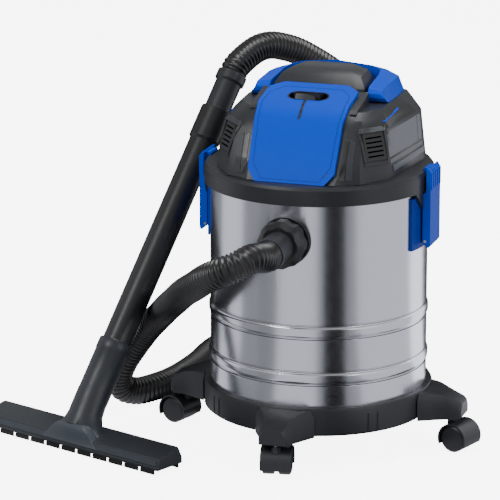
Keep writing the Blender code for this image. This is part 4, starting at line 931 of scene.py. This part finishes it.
@dataclass
class Drum:
    """Rolled stainless drum with two double beads.

    Attributes:
        radius: Outside radius.
        wall: Thickness shown at the edges.
        beads: Heights of the beads' middles.
        sides: Points round.
        bead_half: Half a bead's height.
        bead_proud: How far it stands out.
        groove_at: A groove's middle, from the bead's.
        groove_half: Half its width.
        groove_deep: Its depth.
        rows: Rings over a bead and its grooves.
        row_step: Their spacing.
        inlet_hole: Radius of the hole for the inlet.
    """

    radius: float = 0.160
    wall: float = 0.0012
    beads: tuple[float, ...] = (0.0847, 0.1540)
    sides: int = 112
    bead_half: float = 7.5 * MM
    bead_proud: float = 2.2 * MM
    groove_at: float = 9.9 * MM
    groove_half: float = 0.8 * MM
    groove_deep: float = 2.4 * MM
    rows: int = 59
    row_step: float = 0.42 * MM
    inlet_hole: float = 24.5 * MM

    def skin_radius(self, z: float) -> float:
        """Outside radius, where each bead is a raised band between two fine grooves.

        Args:
            z: Height.

        Returns:
            The radius there.
        """
        radius = self.radius
        for middle in self.beads:
            away = abs(z - middle)
            band = max(0.0, 1.0 - (away / self.bead_half) ** 4)
            groove = math.exp(-(((away - self.groove_at) / self.groove_half) ** 2))
            radius += self.bead_proud * band - self.groove_deep * groove
        return radius

    def build(self) -> None:
        """Build the drum in place of the plain one."""
        low, high = (corner[2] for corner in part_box("drum"))
        heights = [low + 0.0012]
        for middle in self.beads:
            heights += [middle + (k - self.rows // 2) * self.row_step for k in range(self.rows)]
        heights += [high - 0.004]
        outer = [(self.skin_radius(z), z) for z in heights]
        profile = [(self.radius - 0.0015, low), *outer, (self.radius + 0.0004, high - 0.002),
                   (self.radius, high)]
        profile += [(self.radius - self.wall, high), (self.radius - self.wall, low + 0.0022),
                    (0.0, low + 0.0016), (0.0, low)]
        loops = [circle(Matrix.Identity(4), max(r, 0.05 * MM), z, self.sides) for r, z in profile]
        drum = publish("steel_drum", skin(loops, closed=True), STEEL, "drum_body", sharp=50.0)
        # Painted shade: groove faces that face outwards take the darkened steel, so each groove shows as a
        # dark line.
        drum.data.materials.append(build_material(GROOVE_SHADE_STEEL))
        for face in drum.data.polygons:
            spot = Vector((face.center.x, face.center.y, 0.0))
            sunk = spot.length < self.radius - GAP and low + 0.02 < face.center.z < high - 0.02
            if sunk and abs(face.normal.z) < 0.98:
                outward = face.normal.x * spot.x + face.normal.y * spot.y > 0
                face.material_index = 1 if outward else 0
        inlet = along(Vector((0.0, -1.0, 0.0)), Vector((0.0, 0.0, joint("collar_turn")["pos_m"][2])))
        carve(drum, skin([circle(inlet, self.inlet_hole, d, 40) for d in (0.12, 0.20)]))
        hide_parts("drum")


@dataclass
class Filter:
    """Pleated cloth sleeve round the filter cage.

    Attributes:
        pleats: Number of pleats.
        depth: From the sleeve's outside to its bore.
        wall: Cloth between the bore and the bottom of a pleat.
    """

    pleats: int = 54
    depth: float = 7.8 * MM
    wall: float = 1.6 * MM

    def build(self) -> None:
        """Build the pleats in place of the plain sleeve."""
        low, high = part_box("filter_sleeve")
        outer, inner = high[0], high[0] - self.depth
        count = self.pleats * 4
        zigzag = []
        for i in range(count):
            wave = 0.5 + 0.5 * math.cos(math.tau * i / 4)
            zigzag.append((inner + self.wall + (outer - inner - self.wall) * wave, math.tau * i / count))
        loops = []
        for z in (low[2], low[2] + 0.002, high[2] - 0.002, high[2]):
            loops.append([Vector((r * math.cos(a), r * math.sin(a), z)) for r, a in zigzag])
        for z in (high[2], low[2]):
            loops.append([Vector((inner * math.cos(a), inner * math.sin(a), z)) for _, a in zigzag])
        sleeve = publish("pleated_filter", skin(loops, closed=True), CLOTH, "head",
                         sharp=80.0)
        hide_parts("filter_sleeve")


@dataclass
class BaseRing:
    """Pairs of narrow slots round the base ring.

    Attributes:
        headings: Middles of the pairs, in degrees.
        apart: Each slot from its pair's middle, in degrees.
        radius: The ring's outside.
        half: Half a slot's width.
        sunk: How deep an inlay goes into the ring.
    """

    headings: tuple[float, ...] = (-135.0, -45.0, 45.0, 135.0)
    apart: float = 2.6
    radius: float = 0.1695
    half: float = 0.8 * MM
    sunk: float = 1.0 * MM

    def build(self) -> None:
        """Build the slots as slim dark inlays: painted shade where the slots lie."""
        low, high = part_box("base")
        near, far = self.radius - self.sunk, self.radius + GAP
        for k, heading in enumerate(self.headings):
            for j, offset in enumerate((-self.apart, self.apart)):
                place = Matrix.Rotation(math.radians(heading + offset), 4, "Z")
                loops = []
                for z in (low[2] + 0.004, high[2] - 0.010):
                    corners = ((near, -self.half), (far, -self.half), (far, self.half), (near, self.half))
                    loops.append([place @ Vector((x, y, z)) for x, y in corners])
                # Painted shade: the inlays take the black rubber finish to stand for the dark slots.
                publish("base_slot_shade_%d_%d" % (k, j), skin(loops), RUBBER, "drum_body")


# ------------------------------------------------------------------------- nozzle


@dataclass
class Nozzle:
    """Wide floor nozzle: sloped bar, front shield, neck, suction slot and bumper strip.

    Attributes:
        half: Half the bar's width.
        front: Front edge, in the nozzle's own Y.
        back: Rear edge.
        low: Underside above the floor.
        high: Top above the floor.
        neck: Neck radius.
        blocks: Number of bumper blocks.
        flare: The throat's foot over the neck's radius.
        bore_wall: Thickness of the neck's wall.
        cut_in: Chamfer of the shield's corners.
        block_gap: Half the gap between two bumper blocks.
    """

    half: float = 0.175
    front: float = -0.0205
    back: float = 0.0365
    low: float = 0.0075
    high: float = 0.0260
    neck: float = 0.0248
    blocks: int = 11
    flare: float = 1.18
    bore_wall: float = 2.8 * MM
    cut_in: float = 4.0 * MM
    block_gap: float = 2.2 * MM

    def place(self) -> Matrix:
        """Find the nozzle's frame.

        Returns:
            Frame on the floor under the neck, with X along the bar and Y the way the wand leans.
        """
        floor = CAD_BOX[0][2]
        lean = Vector(joint("nozzle_twist")["axis"]).normalized()
        top = Vector(joint("nozzle_twist")["pos_m"])
        foot = top + lean * ((floor + self.high - top.z) / lean.z)
        flat = Vector((lean.x, lean.y, 0.0)).normalized()
        frame_at = Matrix((Vector((flat.y, -flat.x, 0.0)), flat,
                           Vector((0.0, 0.0, 1.0)))).transposed().to_4x4()
        frame_at.translation = (foot.x, foot.y, floor)
        return frame_at

    def block(self, low: Point, high: Point, at: Matrix) -> bmesh.types.BMesh:
        """A box in the nozzle's frame.

        Args:
            low: Its lowest corner.
            high: Its highest corner.
            at: The nozzle's frame.

        Returns:
            The mesh.
        """
        corners = ((low[0], low[1]), (high[0], low[1]), (high[0], high[1]), (low[0], high[1]))
        return skin([[at @ Vector((x, y, z)) for x, y in corners] for z in (low[2], high[2])])

    def bar(self, at: Matrix) -> bpy.types.Object:
        """The bar, with a lip at its front and ends drawn in a little.

        Args:
            at: The nozzle's frame.

        Returns:
            The piece.
        """
        f, b, low, high = self.front, self.back, self.low, self.high
        outline = ((f + 0.0010, low), (f, low + 0.0010), (f, low + 0.0044), (f + 0.0016, low + 0.0054),
                   (f + 0.0018, low + 0.0068), (f + 0.0038, high - 0.0030), (f + 0.0050, high - 0.0014),
                   (b - 0.0120, high + 0.0070), (b - 0.0085, high + 0.0072), (b - 0.0012, low + 0.0120),
                   (b, low + 0.0085), (b, low + 0.0010), (b - 0.0010, low))
        middle = (f + b) / 2
        loops = []
        for x, shrink in ((-self.half, 0.93), (-self.half + 0.003, 1.0), (self.half - 0.003, 1.0),
                          (self.half, 0.93)):
            loops.append([at @ Vector((x, middle + (y - middle) * shrink,
                                       low + (z - low) * (0.5 + shrink / 2)))
                          for y, z in outline])
        bar = publish("nozzle_shell", skin(loops), NOZZLE, "nozzle", sharp=22.0)
        carve(bar, self.block((-self.half + 0.014, -0.008, -0.01), (self.half - 0.014, 0.014, low + 0.0125),
                              at))
        edge = self.half - 0.0035
        rows = ((low + 0.0072, f + 0.0010), (high - 0.0034, f + 0.0029))
        section = ((-edge, 0.0), (edge, 0.0), (edge, 0.0020), (-edge, 0.0020))
        facet = [[at @ Vector((x, y + depth, z)) for x, depth in section] for z, y in rows]
        # Painted highlight: the front facet takes the paler copy of the moulding.
        publish("nozzle_facet", skin(facet), NOZZLE_LIT, "nozzle")
        for middle in (f + 0.006, b - 0.006):
            start = (-self.half + 0.004, middle - 0.0021, 0.0)
            end = (self.half - 0.004, middle + 0.0021, low + 0.0043)
            carve(bar, self.block(start, end, at))
        bevel(bar, 0.5 * MM)
        return bar

    def throat(self, at: Matrix) -> None:
        """The flare from the bar up to the neck, and the neck's socket.

        Args:
            at: The nozzle's frame.
        """
        axis = along(Vector(joint("nozzle_twist")["axis"]), Vector(joint("nozzle_twist")["pos_m"]))
        tip = reach_along(axis, "nozzle_body")
        local = at.inverted() @ axis
        turn = [math.tau * (k + 0.5) / 40 for k in range(40)]
        sections = ((self.low + 0.010, 0.056, 0.3), (self.high + 0.0008, 0.046, 0.4),
                    (self.high + 0.008, 0.036, 0.6),
                    (self.high + 0.018, 0.0285, 0.85), (self.high + 0.030, 0.0256, 1.0))
        loops = []
        spot = local @ Vector((0.0, 0.0, 0.0))
        way = (local.to_3x3() @ Vector((0.0, 0.0, 1.0))).normalized()
        for z, wide, round_share in sections:
            centre = spot + way * ((z - spot.z) / way.z)
            rounded = self.neck * self.flare * round_share
            deep_front = (centre.y - (self.front + 0.0075)) * (1 - round_share) + rounded
            if z < self.high + 0.012:
                deep_front = min(deep_front, centre.y - (self.front + 0.0080))
            deep_back = ((self.back - 0.010) - centre.y) * (1 - round_share) + rounded
            loop = []
            for a in turn:
                c, n = math.cos(a), math.sin(a)
                power = 0.55 + 0.45 * round_share
                x = wide * math.copysign(abs(c) ** power, c)
                y = (deep_back if n > 0 else deep_front) * math.copysign(abs(n) ** power, n)
                loop.append(at @ Vector((centre.x + x, centre.y + y, z)))
            loops.append(loop)
        lean = Vector(joint("nozzle_twist")["axis"]).normalized()
        base = Vector(joint("nozzle_twist")["pos_m"])
        start = (CAD_BOX[0][2] + self.high + 0.050 - base.z) / lean.z
        bore = self.neck - self.bore_wall
        rings = ((self.neck + 0.0004, start), (self.neck, start + 0.004), (self.neck, tip - 0.018),
                 (self.neck + 0.0007, tip - 0.017), (self.neck + 0.0007, tip - 0.0012), (self.neck, tip),
                 (bore, tip), (bore, start - 0.02))
        inverse = axis.inverted()
        angles = [math.atan2((inverse @ p).y, (inverse @ p).x) for p in loops[-1]]
        for radius, height in rings:
            loops.append([axis @ Vector((radius * math.cos(a), radius * math.sin(a),
                                         height)) for a in angles])
        publish("nozzle_throat", skin(loops), NOZZLE, "nozzle", sharp=40.0)

    def shield(self, at: Matrix) -> None:
        """Rounded shield over the front of the throat.

        Args:
            at: The nozzle's frame.
        """
        rows = ((0.0, 0.058, 0.0010), (0.0080, 0.0470, 0.0020), (0.0130, 0.0415, 0.0022),
                (0.0185, 0.0370, 0.0026),
                (0.0235, 0.0315, 0.0032), (0.0270, 0.0240, 0.0044), (0.0288, 0.0130, 0.0062))
        loops = []
        for rise, wide, back in rows:
            z = self.low + 0.0075 + rise
            y = self.front + back
            half = ((wide - self.cut_in, y), (wide - self.cut_in * 0.3, y + 0.001), (wide, y + 0.006),
                    (wide, y + 0.014))
            outline = [*[(-x, yy) for x, yy in half[2::-1]], *half, (-wide, y + 0.014)]
            loops.append([at @ Vector((x, yy, z)) for x, yy in outline])
        # Painted highlight: the shield takes the paler copy of the moulding.
        publish("nozzle_shield", skin(loops), NOZZLE_LIT, "nozzle", sharp=35.0)

    def bumper(self, at: Matrix) -> None:
        """Row of bumper blocks under the front lip, in place of the plain front strip.

        Args:
            at: The nozzle's frame.
        """
        span = 2 * (self.half - 0.004)
        pitch = span / self.blocks
        shape = bmesh.new()
        for i in range(self.blocks):
            left = -span / 2 + i * pitch + self.block_gap
            right = left + pitch - 2 * self.block_gap
            block = self.block((left, self.front - 0.0002, 0.0012), (right, self.front + 0.0020, self.low),
                               at)
            mesh = bpy.data.meshes.new("block")
            block.to_mesh(mesh)
            block.free()
            shape.from_mesh(mesh)
            bpy.data.meshes.remove(mesh)
        piece = publish("bumper_strip", shape, RUBBER, "nozzle")
        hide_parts("nozzle_blade_front")
        bevel(piece, 0.5 * MM)

    def build(self) -> None:
        """Build the nozzle in place of the plain one."""
        at = self.place()
        bar = self.bar(at)
        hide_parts("nozzle_body")
        self.throat(at)
        self.shield(at)
        self.bumper(at)


def reach_along(axis: Matrix, node: str) -> float:
    """How far a CAD node reaches along a frame's Z."""
    inverse = axis.inverted()
    return max((inverse @ vert.co).z for vert in frame["nodes"][node].data.vertices)


# ------------------------------------------------------------------------- stage


@dataclass(frozen=True)
class Card:
    """A panel that only reflections see.

    Attributes:
        name: Object name.
        heading: Direction from the drum's axis, in degrees from the camera's side,
        counter-clockwise from above.
        distance: From the drum's axis.
        width: Its width.
        height: Its height above the floor.
        shade: Its grey level.
        foot: Width of its strip on the floor where that meets the drum.
    """

    name: str
    heading: float
    distance: float
    width: float
    height: float
    shade: float
    foot: float = 0.04


CAMERA_HEADING = 18.0
CARDS = (
    Card("card_main", 13.5, 0.62, 0.225, 0.60, 0.001, 0.055),
    Card("card_left", -50.0, 0.60, 0.20, 0.60, 0.26, 0.05),
    Card("card_right_wide", 70.0, 0.85, 1.15, 0.80, 0.74, 0.16),
    Card("card_front_wide", -22.0, 0.85, 0.60, 0.80, 0.74, 0.12),
    Card("card_right_bright", 118.0, 0.80, 0.42, 0.75, 1.7, 0.10),
    Card("card_right_edge", 152.0, 0.60, 0.36, 0.60, 0.01, 0.10),
    Card("card_left_bright", -100.0, 0.80, 0.50, 0.75, 0.85, 0.10),
    Card("card_left_edge", -150.0, 0.60, 0.36, 0.60, 0.01, 0.10),
)


@dataclass
class Studio:
    """Floor, lights, reflection cards and camera.

    Attributes:
        floor: Height of the floor.
        reach: Half the floor's width.
        glow: Brightness of the floor that the camera sees.
        sky: Brightness of the sky.
        card_foot: Where a card's strip on the floor starts, from the drum's axis.
        offset: The camera's aim, to the right of the drum's axis.
        aim: Height of the aim above the floor.
        eye: Height of the camera above the floor.
        away: Its level distance.
        lens: Its focal length in millimetres.
    """

    floor: float
    reach: float = 40.0
    glow: float = 6.5
    sky: float = 0.42
    card_foot: float = 0.172
    offset: float = -0.1015
    aim: float = 0.2848
    eye: float = 1.6405
    away: float = 5.0
    lens: float = 252.9

    def surface(self, name: str, colour: str, roughness: float) -> bpy.types.Material:
        """Make a plain stage material.

        Args:
            name: Its name.
            colour: sRGB hex colour.
            roughness: Its roughness.

        Returns:
            The material.
        """
        material = bpy.data.materials.new(name)
        material.use_nodes = True
        shader = material.node_tree.nodes["Principled BSDF"]
        shader.inputs["Base Color"].default_value = linear(colour)
        shader.inputs["Roughness"].default_value = roughness
        shader.inputs["Specular IOR Level"].default_value = 0.2
        return material

    def sheet(self, name: str, height: float, material: bpy.types.Material) -> bpy.types.Object:
        """Make a large level plane that isn't part of the object.

        Args:
            name: Its name.
            height: Where it lies.
            material: Its material.

        Returns:
            The plane.
        """
        shape = bmesh.new()
        reach = self.reach
        corners = ((-reach, -reach), (reach, -reach), (reach, reach), (-reach, reach))
        shape.faces.new([shape.verts.new((x, y, height)) for x, y in corners])
        mesh = bpy.data.meshes.new(name)
        shape.to_mesh(mesh)
        shape.free()
        mesh.materials.append(material)
        plane = bpy.data.objects.new(name, mesh)
        bpy.context.scene.collection.objects.link(plane)
        return plane

    def build_floor(self) -> None:
        """Bright floor for the camera, and a grey one under it for the bounced light."""
        white = self.surface("floor", "#F4F5F7", 0.9)
        shader = white.node_tree.nodes["Principled BSDF"]
        shader.inputs["Emission Color"].default_value = (1.0, 1.0, 1.0, 1.0)
        shader.inputs["Emission Strength"].default_value = self.glow
        seen = self.sheet("floor", self.floor, white)
        seen.visible_diffuse = False
        seen.visible_glossy = False
        seen.visible_shadow = False
        bounce = self.sheet("floor_bounce", self.floor - 0.5 * MM, self.surface("bounce", "#8C8E92", 0.8))
        bounce.visible_camera = False

    def build_cards(self) -> None:
        """Dark and bright cards that give the steel its bands."""
        for card in CARDS:
            turn = math.radians(CAMERA_HEADING - 90.0 + card.heading)
            out = Vector((math.cos(turn), math.sin(turn), 0.0))
            side = Vector((-out.y, out.x, 0.0)) * card.width / 2
            foot = out * card.distance + Vector((0.0, 0.0, self.floor))
            rise = Vector((0.0, 0.0, card.height))
            shape = bmesh.new()
            inner = out * self.card_foot + Vector((0.0, 0.0, self.floor))
            nip = side.normalized() * card.foot / 2
            rows = ((inner - nip, inner + nip), (foot - side, foot + side),
                    (foot - side + rise, foot + side + rise))
            rows = [[shape.verts.new(point) for point in row] for row in rows]
            for low, high in zip(rows, rows[1:]):
                shape.faces.new((low[0], low[1], high[1], high[0]))
            mesh = bpy.data.meshes.new(card.name)
            shape.to_mesh(mesh)
            shape.free()
            material = bpy.data.materials.new(card.name)
            material.use_nodes = True
            nodes = material.node_tree.nodes
            nodes.remove(nodes["Principled BSDF"])
            graph = Graph(material.node_tree)
            glow = graph.add("Emission", Color=(card.shade, card.shade, card.shade * 1.08, 1.0), Strength=1.0)
            graph.link(glow.outputs[0], nodes["Material Output"].inputs["Surface"])
            mesh.materials.append(material)
            panel = bpy.data.objects.new(card.name, mesh)
            bpy.context.scene.collection.objects.link(panel)
            panel.visible_camera = False
            panel.visible_diffuse = False
            panel.visible_shadow = False
            panel.visible_transmission = False

    def build_lights(self) -> None:
        """Soft sky and three softboxes."""
        world = bpy.data.worlds.new("studio")
        bpy.context.scene.world = world
        world.use_nodes = True
        sky = world.node_tree.nodes["Background"]
        sky.inputs["Color"].default_value = (1.0, 1.0, 1.0, 1.0)
        sky.inputs["Strength"].default_value = self.sky
        boxes = (
            ("key", (-1.4, -2.4, 2.2), 1.3, 46.0),
            ("fill", (2.8, -1.4, 1.3), 1.1, 26.0),
            ("top", (0.3, 0.5, 2.6), 1.6, 34.0),
        )
        for name, spot, size, power in boxes:
            lamp = bpy.data.lights.new(name, "AREA")
            lamp.shape = "DISK"
            lamp.size = size
            lamp.energy = power
            holder = bpy.data.objects.new(name, lamp)
            holder.location = spot
            aim = Vector((0.0, 0.0, 0.25)) - Vector(spot)
            holder.rotation_euler = aim.to_track_quat("-Z", "Y").to_euler()
            bpy.context.scene.collection.objects.link(holder)

    def build_camera(self) -> None:
        """Long lens from the front, a little to the right and above."""
        turn = math.radians(CAMERA_HEADING)
        right = Vector((math.cos(turn), math.sin(turn), 0.0))
        out = Vector((math.sin(turn), -math.cos(turn), 0.0))
        centre = right * self.offset + Vector((0.0, 0.0, self.floor))
        eye = centre + out * self.away + Vector((0.0, 0.0, self.eye))
        target = centre + Vector((0.0, 0.0, self.aim))
        data = bpy.data.cameras.new("camera")
        data.lens = self.lens
        data.sensor_width = 36.0
        data.clip_end = 100.0
        camera = bpy.data.objects.new("camera", data)
        camera.location = eye
        camera.rotation_euler = (target - eye).to_track_quat("-Z", "Y").to_euler()
        bpy.context.scene.collection.objects.link(camera)
        bpy.context.scene.camera = camera

    def build(self) -> None:
        """Build the whole stage."""
        self.build_floor()
        self.build_cards()
        self.build_lights()
        self.build_camera()


def dress_nodes() -> None:
    """Give each CAD node its finish and smooth shading."""
    for name, piece in frame["nodes"].items():
        wear_finish(piece, finish_of(name))
        smooth_node(piece)


def main() -> None:
    """Build the model and its stage."""
    logging.basicConfig(level=logging.INFO)
    dress_nodes()
    Hose().build()
    Drum().build()
    Head().build()
    Latches().build()
    Filter().build()
    BaseRing().build()
    Nozzle().build()
    Studio(CAD_BOX[0][2]).build()


if __name__ == "__main__":
    main()
